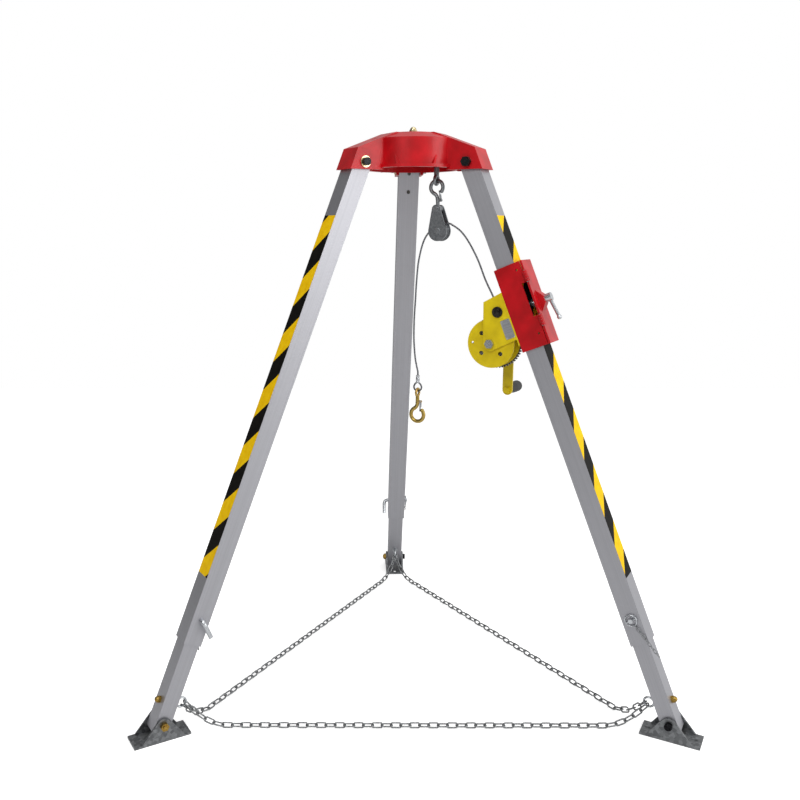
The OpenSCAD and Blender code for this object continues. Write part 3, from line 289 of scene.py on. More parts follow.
def pick(piece, kind, test):
    bpy.ops.mesh.select_mode(type=kind)
    bpy.ops.mesh.select_all(action="DESELECT")
    mesh = bmesh.from_edit_mesh(piece.data)
    for part in {"VERT": mesh.verts, "EDGE": mesh.edges, "FACE": mesh.faces}[kind]:
        if test(part):
            part.select_set(True)
    bmesh.update_edit_mesh(piece.data)


def settle(piece):
    start_fresh()
    piece.select_set(True)
    bpy.context.view_layer.objects.active = piece
    bpy.ops.object.transform_apply(location=True, rotation=True, scale=True)


eye_radius, eye_neck = 12.0, [(2.6, 15.5), (3.4, 12.5), (8.5, 8.5)]
eye_from, eye_sweep, eye_steps, eye_curve_steps, eye_spacing = 170, 200, 48, 3, 1.2
eye_z = thimble_low.z + eye_radius
eye_route = [(-x, z) for x, z in eye_neck]
for k in range(eye_steps + 1):
    turn = math.radians(eye_from + eye_sweep * k / eye_steps)
    eye_route.append((eye_radius * math.cos(turn), eye_radius * math.sin(turn)))
eye_route += reversed(eye_neck)
eye_route = smooth([in_plane(hook_u + x, 0, eye_z + z) / MM for x, z in eye_route], eye_curve_steps)
rope_eye, _, eye_length = stranded_tube("rope_eye", eye_route, rope_d, eye_spacing, points_per_strand=5)
ferrule_radius, rim_round = 5.5, 0.9
ferrule_rings, pressed_ring, press_share = (-7, -5.6, -4.2, 4.2, 5.6, 7), 5.6, 0.86
start_fresh()
bpy.ops.mesh.primitive_cylinder_add(vertices=40, radius=ferrule_radius * MM, depth=ferrule_length * MM,
                                    location=in_plane(hook_u, 0, ferrule_low + ferrule_length / 2))
ferrule = bpy.context.object
ferrule.name = "ferrule"
bpy.ops.object.mode_set(mode="EDIT")
for height in ferrule_rings:
    bpy.ops.mesh.select_all(action="SELECT")
    bpy.ops.mesh.bisect(plane_co=ferrule.location + Vector((0, 0, height * MM)), plane_no=(0, 0, 1))
pick(ferrule, "VERT", lambda v: abs(abs(v.co.z) - pressed_ring * MM) < 1e-5)
bpy.ops.transform.resize(value=(press_share, press_share, 1))
bpy.ops.object.mode_set(mode="OBJECT")
rims = ferrule.modifiers.new("rims", "BEVEL")
rims.width = rim_round * MM
rims.segments = 3
rims.angle_limit = math.radians(50)
bpy.ops.object.modifier_apply(modifier="rims")
bpy.ops.object.shade_smooth_by_angle(angle=math.radians(40))
settle(ferrule)
for piece in (rope_eye, ferrule):
    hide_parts("rope_end")
    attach(piece, "rope_end")
print("eye", round(eye_length * 1000), "mm round, ferrule faces:", len(ferrule.data.polygons))

# %% [markdown]
# ## The rope's two sides
# The lengths of the free rope's two sides are printed. The lift side leaves the drum and ends at the pulley;
# the fall side carries on from there to the hook.

print("lift side", round(lift_length, 3), "m, fall side", round(fall_length, 3), "m")

# %% [markdown]
# ## The winch's blank plate
# A small silver plate is riveted to the front of the winch, and here it stays bare. It starts as a thin box
# whose corners are rounded. Its face is inset and pressed in a little, which leaves a raised rim.

# %% Model the plate
plate_x, plate_along, plate_y = -49 * MM, 448 * MM, -36 * MM
plate_wide, plate_long, plate_thick = 26 * MM, 52 * MM, 0.9 * MM
corner_round, rim_wide, rim_slope, rim_deep = 2.5 * MM, 1.1 * MM, 0.4 * MM, 0.35 * MM
start_fresh()
bpy.ops.mesh.primitive_cube_add(size=1)
bare_plate = bpy.context.object
bare_plate.name = "winch_plate"
bpy.ops.object.mode_set(mode="EDIT")
bpy.ops.mesh.select_all(action="SELECT")
bpy.ops.transform.resize(value=(plate_wide, plate_thick, plate_long))
pick(bare_plate, "EDGE", lambda e: abs(e.verts[0].co.y - e.verts[1].co.y) > plate_thick / 2)
bpy.ops.mesh.bevel(offset=corner_round, segments=4, affect="EDGES")
pick(bare_plate, "FACE", lambda f: f.normal.y < -0.9)
bpy.ops.mesh.inset(thickness=rim_wide, depth=0)
bpy.ops.mesh.inset(thickness=rim_slope, depth=-rim_deep)
bpy.ops.object.mode_set(mode="OBJECT")
bpy.ops.object.shade_smooth_by_angle(angle=math.radians(30))
print("plate faces:", len(bare_plate.data.polygons))

# %% [markdown]
# ## Its rivets
# Four small rivets hold the plate. One is modelled: a sphere is flattened, and its hidden half is cut away
# and closed. The others are copies with a mesh of their own, and all of them are joined to the plate.

# %% Rivet the plate on
rivet_radius, rivet_flat, rivet_across, rivet_along = 1.7 * MM, 0.5, 9.5 * MM, 22.5 * MM
start_fresh()
bpy.ops.mesh.primitive_uv_sphere_add(segments=16, ring_count=8, radius=rivet_radius)
rivet = bpy.context.object
bpy.ops.object.mode_set(mode="EDIT")
bpy.ops.mesh.select_all(action="SELECT")
bpy.ops.transform.resize(value=(1, rivet_flat, 1))
bpy.ops.mesh.bisect(plane_co=(0, 0, 0), plane_no=(0, 1, 0), clear_outer=True, use_fill=True)
bpy.ops.object.mode_set(mode="OBJECT")
bpy.ops.object.shade_smooth_by_angle(angle=math.radians(60))
rivets = [rivet]
for _ in range(3):
    twin = rivet.copy()
    twin.data = rivet.data.copy()
    bpy.context.scene.collection.objects.link(twin)
    rivets.append(twin)
start_fresh()
for k, twin in enumerate(rivets):
    twin.location = ((-1) ** k * rivet_across, rim_deep - plate_thick / 2, (-1) ** (k // 2) * rivet_along)
    twin.select_set(True)
bare_plate.select_set(True)
bpy.context.view_layer.objects.active = bare_plate
bpy.ops.object.join()
plate_place = Matrix.Translation((plate_x, plate_y - plate_thick / 2, -plate_along))
bare_plate.matrix_world = on_leg("right") @ plate_place
settle(bare_plate)
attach(bare_plate, "leg_right")
print("plate with rivets:", len(bare_plate.data.polygons), "faces")

# %% [markdown]
# ## Rounded edges
# Folded sheet has no knife edges: the press and the paint round those of the winch and its clamp. Each of
# these solids gets a copy with merged points, left open for editing, in which flat areas become single
# faces. Its sharp edges of some length are marked with a bevel weight, and a bevel rounds the marked ones,
# so that small corners stay clean. The rounded edges catch a thin line of light.

# %% Round the painted pieces
merge_gap, flat_angle, sharp_angle = 0.01 * MM, math.radians(0.5), math.radians(32)
edge_round, shortest_edge = 0.9 * MM, 12 * MM


def own_copy(name, new_name):
    source = frame["nodes"][name]
    piece = bpy.data.objects.new(new_name, source.data.copy())
    piece.data.transform(source.matrix_world)
    bpy.context.scene.collection.objects.link(piece)
    start_fresh()
    piece.select_set(True)
    bpy.context.view_layer.objects.active = piece
    bpy.ops.object.mode_set(mode="EDIT")
    bpy.ops.mesh.select_all(action="SELECT")
    bpy.ops.mesh.remove_doubles(threshold=merge_gap)
    return piece


def rounded(name, body):
    piece = own_copy(name, f"{name}_rounded")
    before = len(piece.data.polygons)
    bpy.ops.mesh.dissolve_limited(angle_limit=flat_angle)
    mesh = bmesh.from_edit_mesh(piece.data)
    weight = mesh.edges.layers.float.new("bevel_weight_edge")
    for edge in mesh.edges:
        sharp = len(edge.link_faces) == 2 and edge.calc_face_angle() > sharp_angle
        edge[weight] = 1.0 if sharp and edge.calc_length() > shortest_edge else 0.0
    bmesh.update_edit_mesh(piece.data)
    bpy.ops.object.mode_set(mode="OBJECT")
    edges = piece.modifiers.new("edges", "BEVEL")
    edges.width, edges.segments, edges.limit_method = edge_round, 3, "WEIGHT"
    edges.use_clamp_overlap = False
    bpy.ops.object.modifier_apply(modifier="edges")
    bpy.ops.object.shade_smooth_by_angle(angle=math.radians(35))
    flats = piece.modifiers.new("flats", "WEIGHTED_NORMAL")
    flats.weight, flats.keep_sharp = 100, True
    bpy.ops.object.modifier_apply(modifier="flats")
    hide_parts(name)
    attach(piece, body)
    print(piece.name, before, "->", len(piece.data.polygons), "faces")


rounded("clamp_body", "leg_right")
rounded("clamp_door", "clamp_door")
rounded("winch_frame", "leg_right")

# %% [markdown]
# ## Floor chains parted into runs
# A floor chain joins two legs, and each leg folds at the head and slides out. A copy of each chain is parted
# at its links into four runs: short outer runs from the sliding tube to the leg above it, and long inner
# ones from the leg to the middle, which stays on the floor. The links are sorted by their share of the span
# between the two feet.

# %% Part the floor chains
slide_start, slide_end, middle = 0.05, 0.09, 0.5


def chain_runs(name, first, last):
    own_copy(name, name)
    bpy.ops.mesh.separate(type="LOOSE")
    bpy.ops.object.mode_set(mode="OBJECT")
    near, far = leg_frame[first]["foot"], leg_frame[last]["foot"]
    bends = [(f"lower_leg_{first}", f"leg_{first}", slide_start, slide_end),
             (f"leg_{first}", "head", slide_end, middle),
             ("head", f"leg_{last}", middle, 1 - slide_end),
             (f"leg_{last}", f"lower_leg_{last}", 1 - slide_end, 1 - slide_start)]
    groups = [[], [], [], []]
    for link in bpy.context.selected_objects:
        centre = sum((v.co for v in link.data.vertices), Vector()) / len(link.data.vertices)
        share = (centre - near).dot(far - near) / (far - near).length_squared
        groups[sum(share > bend[2] for bend in bends[1:])].append(link)
    for number, (links, (one, other, start, end)) in enumerate(zip(groups, bends), 1):
        start_fresh()
        for link in links:
            link.select_set(True)
        run = links[0]
        bpy.context.view_layer.objects.active = run
        bpy.ops.object.join()
        run.name = f"{name}_run_{number}"
        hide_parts(name)
        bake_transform(run)
    print(name, "links per run:", [len(links) for links in groups])


floor_chains = {"floor_chain_front": ("left", "right"), "floor_chain_right": ("right", "rear"),
                "floor_chain_left": ("rear", "left")}
for name, (first, last) in floor_chains.items():
    chain_runs(name, first, last)

# %% [markdown]
# ## Making finishes
# Every finish starts from the same few lines: a new material, its shader, and coordinates in metres that
# are fixed to the object. Colours are written as they look on a screen and turned into light values by one
# function. A Mix node keeps its colour sockets behind those for numbers, under the same names, so their
# places are written down here.

# %% Colour and node helpers
mix_first, mix_second, mix_colour = 6, 7, 2


def linear(colour):
    parts = [int(colour[i:i + 2], 16) / 255 for i in (1, 3, 5)]
    return tuple(p / 12.92 if p <= 0.04045 else ((p + 0.055) / 1.055) ** 2.4 for p in parts) + (1.0,)


def add(tree, kind, links=None, stops=(), **settings):
    node = tree.nodes.new(kind)
    for name, value in settings.items():
        setattr(node, name, value)
    for k, (position, colour) in enumerate(stops):
        stop = node.color_ramp.elements[k] if k < 2 else node.color_ramp.elements.new(position)
        stop.position, stop.color = position, linear(colour)
    for socket, value in (links or {}).items():
        if isinstance(value, bpy.types.NodeSocket):
            tree.links.new(value, node.inputs[socket])
        else:
            node.inputs[socket].default_value = value
    return node


def new_finish(name, metallic, roughness):
    material = bpy.data.materials.new(name)
    material.use_nodes = True
    tree = material.node_tree
    shader = tree.nodes["Principled BSDF"]
    shader.inputs["Metallic"].default_value = metallic
    shader.inputs["Roughness"].default_value = roughness
    place = add(tree, "ShaderNodeTexCoord").outputs["Object"]
    return material, tree, shader, place


def dress(material, *names):
    for name in names:
        piece = frame["nodes"][name] if name in frame["nodes"] else bpy.data.objects[name]
        piece.data.materials.clear()
        piece.data.materials.append(material)


def three(stem):
    return [f"{stem}_{leg}" for leg in bearing]


print("finishes ready to mix")

# %% [markdown]
# ## Red enamel
# The head is a sand casting and the clamp is folded steel, both sprayed with glossy red enamel. Sprayed
# enamel has a fine orange peel of two to three millimetres and slow changes of shade where the coat is
# thicker. A thin clear coat gives the wet highlight.

# %% Mix the red enamel
red_enamel, tree, shader, place = new_finish("red_enamel", 0.0, 0.36)
cloud = add(tree, "ShaderNodeTexNoise", {"Vector": place, "Scale": 1 / (45 * MM), "Detail": 4.0})
shade = add(tree, "ShaderNodeValToRGB", {"Fac": cloud.outputs["Fac"]},
            stops=[(0.35, "#a9000a"), (0.65, "#c20312")])
tree.links.new(shade.outputs["Color"], shader.inputs["Base Color"])
peel = add(tree, "ShaderNodeTexNoise", {"Vector": place, "Scale": 1 / (2.5 * MM), "Detail": 2.0})
peel_bump = add(tree, "ShaderNodeBump", {"Strength": 0.12, "Distance": 0.3 * MM,
                "Height": peel.outputs["Fac"]})
tree.links.new(peel_bump.outputs["Normal"], shader.inputs["Normal"])
shader.inputs["Specular IOR Level"].default_value = 0.3
shader.inputs["Coat Weight"].default_value = 0.12
shader.inputs["Coat Roughness"].default_value = 0.1
dress(red_enamel, "head_casting", "clamp_body_rounded", "clamp_door_rounded")
print("red enamel on the head and clamp")

# %% [markdown]
# ## Mustard enamel
# The winch's pressed plates and the crank carry a mustard yellow enamel. It is a little duller than the red
# one, and the drum shows faint rub marks, so its roughness varies over some ten millimetres.

# %% Mix the mustard enamel
mustard_enamel, tree, shader, place = new_finish("mustard_enamel", 0.0, 0.35)
cloud = add(tree, "ShaderNodeTexNoise", {"Vector": place, "Scale": 1 / (30 * MM), "Detail": 5.0})
shade = add(tree, "ShaderNodeValToRGB", {"Fac": cloud.outputs["Fac"]},
            stops=[(0.35, "#d0b604"), (0.65, "#e2c80c")])
tree.links.new(shade.outputs["Color"], shader.inputs["Base Color"])
rub = add(tree, "ShaderNodeTexNoise", {"Vector": place, "Scale": 1 / (11 * MM), "Detail": 6.0})
rub_range = add(tree, "ShaderNodeMapRange", {"Value": rub.outputs["Fac"], "To Min": 0.25, "To Max": 0.5})
tree.links.new(rub_range.outputs["Result"], shader.inputs["Roughness"])
peel = add(tree, "ShaderNodeTexNoise", {"Vector": place, "Scale": 1 / (2 * MM), "Detail": 2.0})
peel_bump = add(tree, "ShaderNodeBump", {"Strength": 0.1, "Distance": 0.3 * MM,
                "Height": peel.outputs["Fac"]})
tree.links.new(peel_bump.outputs["Normal"], shader.inputs["Normal"])
shader.inputs["Specular IOR Level"].default_value = 0.3
shader.inputs["Coat Weight"].default_value = 0.1
shader.inputs["Coat Roughness"].default_value = 0.15
dress(mustard_enamel, "winch_frame_rounded", "rope_drum", "crank_arm")
print("mustard enamel on the winch")

# %% [markdown]
# ## Anodised leg tube
# Extruded aluminium tube carries die lines along its length, softened by satin anodising. The lines are
# real detail under a tenth of a millimetre, so they are drawn almost a millimetre wide to show. They must
# run along each leg, so each leg has its own copy of the finish with coordinates turned to that leg.

# %% Mix the anodised aluminium
line_width, line_length = 0.8 * MM, 500 * MM
anodised = {}
for leg in bearing:
    anodised[leg], tree, shader, place = new_finish(f"satin_anodised_{leg}", 0.75, 0.42)
    turned = add(tree, "ShaderNodeMapping", {"Vector": place, "Location": leg_frame[leg]["pivot"],
                 "Rotation": leg_frame[leg]["turn"]}, vector_type="TEXTURE")
    drawn = add(tree, "ShaderNodeMapping", {"Vector": turned.outputs["Vector"],
                "Scale": (1 / line_width, 1 / line_width, 1 / line_length)})
    lines = add(tree, "ShaderNodeTexNoise", {"Vector": drawn.outputs["Vector"], "Scale": 1.0, "Detail": 4.0})
    shade = add(tree, "ShaderNodeValToRGB", {"Fac": lines.outputs["Fac"]},
                stops=[(0.3, "#a2a2a7"), (0.7, "#b0b0b5")])
    tree.links.new(shade.outputs["Color"], shader.inputs["Base Color"])
    satin = add(tree, "ShaderNodeMapRange", {"Value": lines.outputs["Fac"], "To Min": 0.38, "To Max": 0.5})
    tree.links.new(satin.outputs["Result"], shader.inputs["Roughness"])
    scratch = add(tree, "ShaderNodeBump", {"Strength": 0.03, "Distance": 0.2 * MM,
                  "Height": lines.outputs["Fac"]})
    tree.links.new(scratch.outputs["Normal"], shader.inputs["Normal"])
    dress(anodised[leg], f"upper_tube_{leg}", f"lower_tube_{leg}")
print("anodised tubes:", list(anodised))

# %% [markdown]
# ## Hazard tape
# Printed vinyl tape with slanted yellow and black bars runs down each outer face. A bar is almost 80 mm
# long on the leg and slants by almost the tape's own width. The stripe is pure arithmetic on the leg's own
# coordinates: distance down the leg plus a share of the distance across, cut into halves of a 157 mm
# repeat. The right strip was cut from the roll at another place than the others, so its bars start
# elsewhere. Worn vinyl is dull, which keeps the black deep.

# %% Print the tape
stripe_repeat, stripe_slant = 157 * MM, 0.93
stripe_starts = {"rear": 233 * MM, "left": 233 * MM, "right": 180 * MM}
for leg, stripe_start in stripe_starts.items():
    tape, tree, shader, place = new_finish(f"vinyl_tape_{leg}", 0.0, 0.5)
    shader.inputs["Specular IOR Level"].default_value = 0.06
    turned = add(tree, "ShaderNodeMapping", {"Vector": place, "Location": leg_frame[leg]["pivot"],
                 "Rotation": leg_frame[leg]["turn"]}, vector_type="TEXTURE")
    split = add(tree, "ShaderNodeSeparateXYZ", {"Vector": turned.outputs["Vector"]})
    slant = add(tree, "ShaderNodeMath", {0: split.outputs["Y"], 1: stripe_slant, 2: -stripe_start},
                operation="MULTIPLY_ADD")
    down = add(tree, "ShaderNodeMath", {0: slant.outputs[0], 1: split.outputs["Z"]}, operation="SUBTRACT")
    repeat = add(tree, "ShaderNodeMath", {0: down.outputs[0], 1: stripe_repeat}, operation="DIVIDE")
    phase = add(tree, "ShaderNodeMath", {0: repeat.outputs[0]}, operation="FRACT")
    bar = add(tree, "ShaderNodeMath", {0: phase.outputs[0], 1: 0.5}, operation="GREATER_THAN")
    scuff = add(tree, "ShaderNodeTexNoise", {"Vector": place, "Scale": 1 / (20 * MM), "Detail": 6.0})
    yellow = add(tree, "ShaderNodeValToRGB", {"Fac": scuff.outputs["Fac"]},
                 stops=[(0.35, "#f3c000"), (0.65, "#ffd10c")]).outputs["Color"]
    black = add(tree, "ShaderNodeValToRGB", {"Fac": scuff.outputs["Fac"]},
                stops=[(0.35, "#090806"), (0.65, "#14120e")]).outputs["Color"]
    ink = add(tree, "ShaderNodeMix", {"Factor": bar.outputs[0], mix_first: black, mix_second: yellow},
              data_type="RGBA")
    tree.links.new(ink.outputs[mix_colour], shader.inputs["Base Color"])
    gloss = add(tree, "ShaderNodeMapRange", {"Value": scuff.outputs["Fac"], "To Min": 0.42, "To Max": 0.6})
    tree.links.new(gloss.outputs["Result"], shader.inputs["Roughness"])
    dress(tape, f"hazard_tape_{leg}")
print("tape repeat", round(stripe_repeat, 3), "m")

# %% [markdown]
# ## Galvanised steel
# Hot-dip zinc freezes into spangle: flat crystals about eight millimetres across, each reflecting a little
# differently. A cell pattern gives the crystals for the feet. On the thin chain wire the crystals are
# smaller than a link, so a fine noise is enough.

# %% Mix the galvanised finishes
galvanised_plate, tree, shader, place = new_finish("galvanised_plate", 0.9, 0.45)
spangle = add(tree, "ShaderNodeTexVoronoi", {"Vector": place, "Scale": 1 / (8 * MM)})
grey = add(tree, "ShaderNodeRGBToBW", {"Color": spangle.outputs["Color"]})
shade = add(tree, "ShaderNodeValToRGB", {"Fac": grey.outputs["Val"]},
            stops=[(0.2, "#66686a"), (0.8, "#8b8d8f")])
tree.links.new(shade.outputs["Color"], shader.inputs["Base Color"])
crystal = add(tree, "ShaderNodeMapRange", {"Value": grey.outputs["Val"], "To Min": 0.36, "To Max": 0.56})
tree.links.new(crystal.outputs["Result"], shader.inputs["Roughness"])
dress(galvanised_plate, *three("foot"))
galvanised_wire, tree, shader, place = new_finish("galvanised_wire", 0.9, 0.38)
frost = add(tree, "ShaderNodeTexNoise", {"Vector": place, "Scale": 1 / (3 * MM), "Detail": 4.0})
shade = add(tree, "ShaderNodeValToRGB", {"Fac": frost.outputs["Fac"]},
            stops=[(0.35, "#737576"), (0.65, "#a0a2a4")])
tree.links.new(shade.outputs["Color"], shader.inputs["Base Color"])
frost_bump = add(tree, "ShaderNodeBump", {"Strength": 0.15, "Distance": 0.2 * MM,
                 "Height": frost.outputs["Fac"]})
tree.links.new(frost_bump.outputs["Normal"], shader.inputs["Normal"])
dress(galvanised_wire, *[f"{name}_run_{number}" for name in floor_chains for number in (1, 2, 3, 4)])
dress(galvanised_wire, *three("keeper_chain"))
print("zinc on the feet and chains")

# %% [markdown]
# ## Bright zinc plate
# Pins, shafts and screws are electroplated with bright zinc: smoother than hot-dip zinc, faintly blue, with
# small handling marks a few millimetres long.

# %% Mix the bright zinc
bright_zinc, tree, shader, place = new_finish("bright_zinc", 1.0, 0.25)
handling = add(tree, "ShaderNodeTexNoise", {"Vector": place, "Scale": 1 / (4 * MM), "Detail": 6.0})
shade = add(tree, "ShaderNodeValToRGB", {"Fac": handling.outputs["Fac"]},
            stops=[(0.35, "#bfc2c6"), (0.65, "#cfd2d5")])
tree.links.new(shade.outputs["Color"], shader.inputs["Base Color"])
marks = add(tree, "ShaderNodeMapRange", {"Value": handling.outputs["Fac"], "To Min": 0.22, "To Max": 0.34})
tree.links.new(marks.outputs["Result"], shader.inputs["Roughness"])
dress(bright_zinc, *three("lock_pin"), *three("linch_pin"), "drum_shaft", "winch_bolts",
      "clamp_screw", "block_latch", "hook_latch", "sheave_axle", "ferrule")
print("bright zinc on pins, shafts and screws")

# %% [markdown]
# ## Brass and blackened steel
# Turned brass shows on the bushes and on the dome nut above the head. The bolts are blackened steel, whose
# oxide is a dark film with a soft sheen.

# %% Mix brass and black
turned_brass, tree, shader, place = new_finish("turned_brass", 1.0, 0.26)
tarnish = add(tree, "ShaderNodeTexNoise", {"Vector": place, "Scale": 1 / (6 * MM), "Detail": 5.0})
shade = add(tree, "ShaderNodeValToRGB", {"Fac": tarnish.outputs["Fac"]},
            stops=[(0.35, "#cbb685"), (0.65, "#e8d9b4")])
tree.links.new(shade.outputs["Color"], shader.inputs["Base Color"])
dress(turned_brass, "pivot_bushes", "top_nut")
black_oxide, tree, shader, place = new_finish("black_oxide", 0.7, 0.4)
film = add(tree, "ShaderNodeTexNoise", {"Vector": place, "Scale": 1 / (4 * MM), "Detail": 5.0})
shade = add(tree, "ShaderNodeValToRGB", {"Fac": film.outputs["Fac"]},
            stops=[(0.35, "#0f0f10"), (0.65, "#2a2a2d")])
tree.links.new(shade.outputs["Color"], shader.inputs["Base Color"])
dress(black_oxide, "pivot_bolts")
print("brass and black bolts done")

# %% [markdown]
# ## Two-tone fasteners
# An eye bolt is bright zinc, but the dome nut on the leg's outer face is golden. A foot bolt is black, with
# a golden nut on one side. Each is one solid node, so the finish itself changes at a plane: out of the leg
# for the eye bolts, across it for the foot bolts.

# %% Mix the two-tone fasteners
def two_tone(name, leg, origin, axis, step, low, high):
    material, tree, shader, place = new_finish(name, 1.0, 0.28)
    turned = add(tree, "ShaderNodeMapping", {"Vector": place, "Location": origin,
                 "Rotation": leg_frame[leg]["turn"]}, vector_type="TEXTURE")
    split = add(tree, "ShaderNodeSeparateXYZ", {"Vector": turned.outputs["Vector"]})
    side = add(tree, "ShaderNodeMath", {0: split.outputs[axis], 1: step}, operation="GREATER_THAN")
    grain = add(tree, "ShaderNodeTexNoise", {"Vector": place, "Scale": 1 / (4 * MM), "Detail": 5.0})
    first = add(tree, "ShaderNodeValToRGB", {"Fac": grain.outputs["Fac"]}, stops=low).outputs["Color"]
    second = add(tree, "ShaderNodeValToRGB", {"Fac": grain.outputs["Fac"]}, stops=high).outputs["Color"]
    mix = add(tree, "ShaderNodeMix", {"Factor": side.outputs[0], mix_first: first, mix_second: second},
              data_type="RGBA")
    tree.links.new(mix.outputs[mix_colour], shader.inputs["Base Color"])
    return material


nut_face = 20.5 * MM
golden = [(0.35, "#8f7134"), (0.65, "#b8984f")]
silvery = [(0.35, "#aeb2b5"), (0.65, "#d0d3d6")]
blackened = [(0.35, "#101011"), (0.65, "#2b2b2e")]
for leg in bearing:
    eye = two_tone(f"zinc_and_gold_{leg}", leg, leg_frame[leg]["pivot"], "X", nut_face, silvery, golden)
    dress(eye, f"eye_bolt_{leg}")
    bolt = two_tone(f"black_and_gold_{leg}", leg, leg_frame[leg]["foot"], "Y", 0.0, blackened, golden)
    dress(bolt, f"foot_bolt_{leg}")
print("two-tone fasteners on", list(bearing))

# %% [markdown]
# ## Lifting gear
# The block and its hook are dark drop-forged steel. The load hook is yellow zinc: the passivated film
# shifts between gold, green and pink over about a centimetre. Gears and the inserts in the legs are dark
# oiled steel, and the grip is black moulded plastic.

# %% Mix the lifting-gear finishes
forged_steel, tree, shader, place = new_finish("forged_steel", 0.95, 0.4)
scale_noise = add(tree, "ShaderNodeTexNoise", {"Vector": place, "Scale": 1 / (5 * MM), "Detail": 6.0})
shade = add(tree, "ShaderNodeValToRGB", {"Fac": scale_noise.outputs["Fac"]},
            stops=[(0.35, "#7b7e81"), (0.65, "#96999c")])
tree.links.new(shade.outputs["Color"], shader.inputs["Base Color"])
forge_bump = add(tree, "ShaderNodeBump", {"Strength": 0.08, "Distance": 0.3 * MM,
                 "Height": scale_noise.outputs["Fac"]})
tree.links.new(forge_bump.outputs["Normal"], shader.inputs["Normal"])
dress(forged_steel, "block_hook", "block_cheeks", "block_sheave", "anchor_eye")
yellow_zinc, tree, shader, place = new_finish("yellow_zinc", 1.0, 0.3)
film = add(tree, "ShaderNodeTexNoise", {"Vector": place, "Scale": 1 / (12 * MM), "Detail": 3.0,
           "Distortion": 1.0})
tint = add(tree, "ShaderNodeValToRGB", {"Fac": film.outputs["Fac"]},
           stops=[(0.3, "#a58a3c"), (0.7, "#cda35c"), (0.5, "#b8a05a")])
tree.links.new(tint.outputs["Color"], shader.inputs["Base Color"])
dress(yellow_zinc, "load_hook")
oiled_steel, tree, shader, place = new_finish("oiled_steel", 1.0, 0.3)
oil = add(tree, "ShaderNodeTexNoise", {"Vector": place, "Scale": 1 / (8 * MM), "Detail": 5.0})
shade = add(tree, "ShaderNodeValToRGB", {"Fac": oil.outputs["Fac"]},
            stops=[(0.35, "#2e2d2b"), (0.65, "#5c5a56")])
tree.links.new(shade.outputs["Color"], shader.inputs["Base Color"])
dress(oiled_steel, "drum_gear", "pinion_shaft", *three("leg_insert"))
black_grip, tree, shader, place = new_finish("moulded_black_plastic", 0.0, 0.45)
grain = add(tree, "ShaderNodeTexNoise", {"Vector": place, "Scale": 1 / (1.2 * MM), "Detail": 2.0})
shade = add(tree, "ShaderNodeValToRGB", {"Fac": grain.outputs["Fac"]},
            stops=[(0.35, "#101010"), (0.65, "#1c1c1c")])
tree.links.new(shade.outputs["Color"], shader.inputs["Base Color"])
grain_bump = add(tree, "ShaderNodeBump", {"Strength": 0.2, "Distance": 0.2 * MM,
                 "Height": grain.outputs["Fac"]})
tree.links.new(grain_bump.outputs["Normal"], shader.inputs["Normal"])
dress(black_grip, "crank_grip")
print("lifting gear finished")

# %% [markdown]
# ## Steel rope and bare plate
# The rope's wires are bright steel under old oil. The blank plate is brushed and zinc-plated sheet steel,
# with lines about half a millimetre apart.

# %% Mix rope and plate
rope_steel, tree, shader, place = new_finish("oiled_rope_wire", 1.0, 0.38)
wires = add(tree, "ShaderNodeTexNoise", {"Vector": place, "Scale": 1 / (1.5 * MM), "Detail": 3.0})
shade = add(tree, "ShaderNodeValToRGB", {"Fac": wires.outputs["Fac"]},
            stops=[(0.35, "#55565a"), (0.65, "#94969a")])
tree.links.new(shade.outputs["Color"], shader.inputs["Base Color"])
dress(rope_steel, "lift_rope", "fall_rope", "drum_rope", "drum_rope_under", "rope_eye")
brush_length, brush_width = 30 * MM, 0.5 * MM
brushed_plate, tree, shader, place = new_finish("brushed_plate", 1.0, 0.35)
turned = add(tree, "ShaderNodeMapping", {"Vector": place, "Location": leg_frame["right"]["pivot"],
             "Rotation": leg_frame["right"]["turn"]}, vector_type="TEXTURE")
drawn = add(tree, "ShaderNodeMapping", {"Vector": turned.outputs["Vector"],
            "Scale": (1 / brush_length, 1 / brush_width, 1 / brush_width)})
brush = add(tree, "ShaderNodeTexNoise", {"Vector": drawn.outputs["Vector"], "Scale": 1.0, "Detail": 3.0})
shade = add(tree, "ShaderNodeValToRGB", {"Fac": brush.outputs["Fac"]},
            stops=[(0.35, "#a9abb0"), (0.65, "#d0d2d6")])
tree.links.new(shade.outputs["Color"], shader.inputs["Base Color"])
dress(brushed_plate, "winch_plate")
print("rope and plate finished")

# %% [markdown]
# ## Floor and room
# The tripod stands on a plain white floor that glows a little, so that it stays as white as the wall
# behind. Metal shows its surroundings, so the floor is grey to every ray but the camera's, and the legs
# darken towards their feet. The right of the room is bright and the left is dim, which parts the two sides
# of each leg.

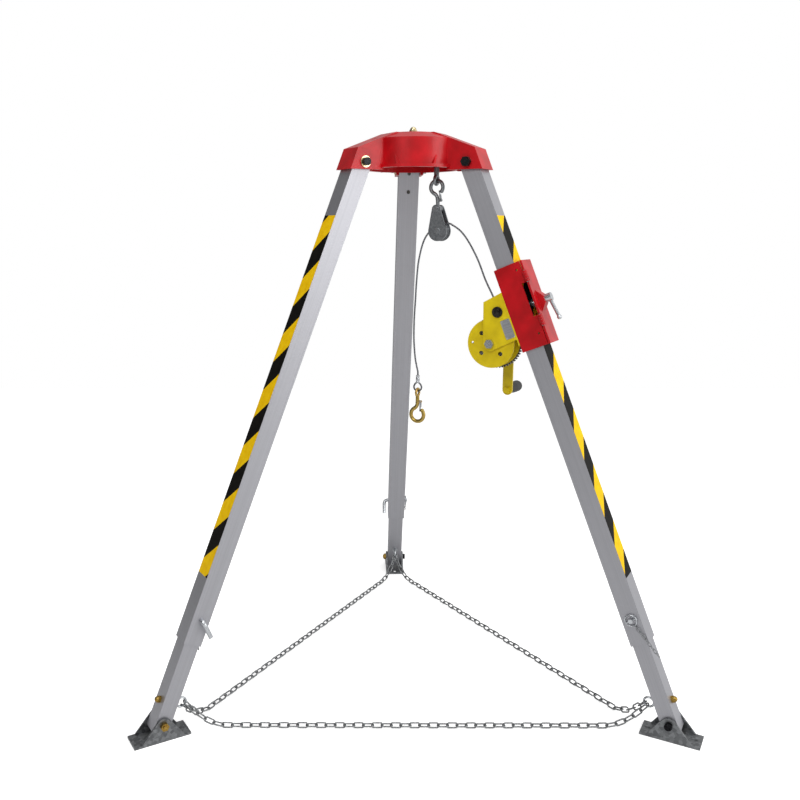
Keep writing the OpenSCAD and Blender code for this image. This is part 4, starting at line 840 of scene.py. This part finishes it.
# %% Floor and room
start_fresh()
floor_size, floor_drop = 9, 0.5 * MM
bpy.ops.mesh.primitive_plane_add(size=floor_size, location=(0, 0, -floor_drop))
floor = bpy.context.object
floor.name = "studio_floor"
sweep, tree, shader, _ = new_finish("white_sweep", 0.0, 0.9)
seen = add(tree, "ShaderNodeLightPath").outputs["Is Camera Ray"]
paint = add(tree, "ShaderNodeMix", {"Factor": seen, mix_first: linear("#c8c8c8"),
            mix_second: linear("#fbfbfb")}, data_type="RGBA")
tree.links.new(paint.outputs[mix_colour], shader.inputs["Base Color"])
shader.inputs["Emission Color"].default_value = linear("#ffffff")
glow = add(tree, "ShaderNodeMix", {"Factor": seen, "A": 0.26, "B": 0.55})
tree.links.new(glow.outputs["Result"], shader.inputs["Emission Strength"])
floor.data.materials.append(sweep)
room = bpy.data.worlds.new("studio_room")
room.use_nodes = True
walls = room.node_tree.nodes["Background"]
walls.inputs["Color"].default_value = linear("#ffffff")
around = add(room.node_tree, "ShaderNodeTexCoord").outputs["Generated"]
sides = add(room.node_tree, "ShaderNodeSeparateXYZ", {"Vector": around})
dim_to_bright = add(room.node_tree, "ShaderNodeMapRange", {"Value": sides.outputs["X"], "From Min": -0.9,
                    "From Max": 0.9, "To Min": 0.08, "To Max": 0.95})
seen = add(room.node_tree, "ShaderNodeLightPath").outputs["Is Camera Ray"]
level = add(room.node_tree, "ShaderNodeMix", {"Factor": seen, "A": dim_to_bright.outputs["Result"], "B": 1.0})
room.node_tree.links.new(level.outputs["Result"], walls.inputs["Strength"])
bpy.context.scene.world = room
bpy.context.scene.view_settings.view_transform = "Standard"
print("floor and room ready")

# %% [markdown]
# ## Lamps
# A large soft lamp at the right adds the highlights, one at the front left lights the tape, and a weak one
# above draws the shadows under the feet.

# %% Hang the lamps
def soft_lamp(name, place, target, size, watts):
    lamp = bpy.data.lights.new(name, "AREA")
    lamp.size, lamp.energy = size, watts
    holder = bpy.data.objects.new(name, lamp)
    holder.location = place
    holder.rotation_euler = (Vector(target) - Vector(place)).to_track_quat("-Z", "Y").to_euler()
    bpy.context.scene.collection.objects.link(holder)


soft_lamp("key_lamp", (3.0, -2.0, 1.7), (0, -0.2, 0.9), 1.8, 32)
soft_lamp("top_lamp", (0.4, -0.9, 3.6), (0, -0.2, 0.5), 1.6, 25)
soft_lamp("fill_lamp", (-1.5, -3.0, 3.0), (0, -0.2, 0.8), 1.5, 42)
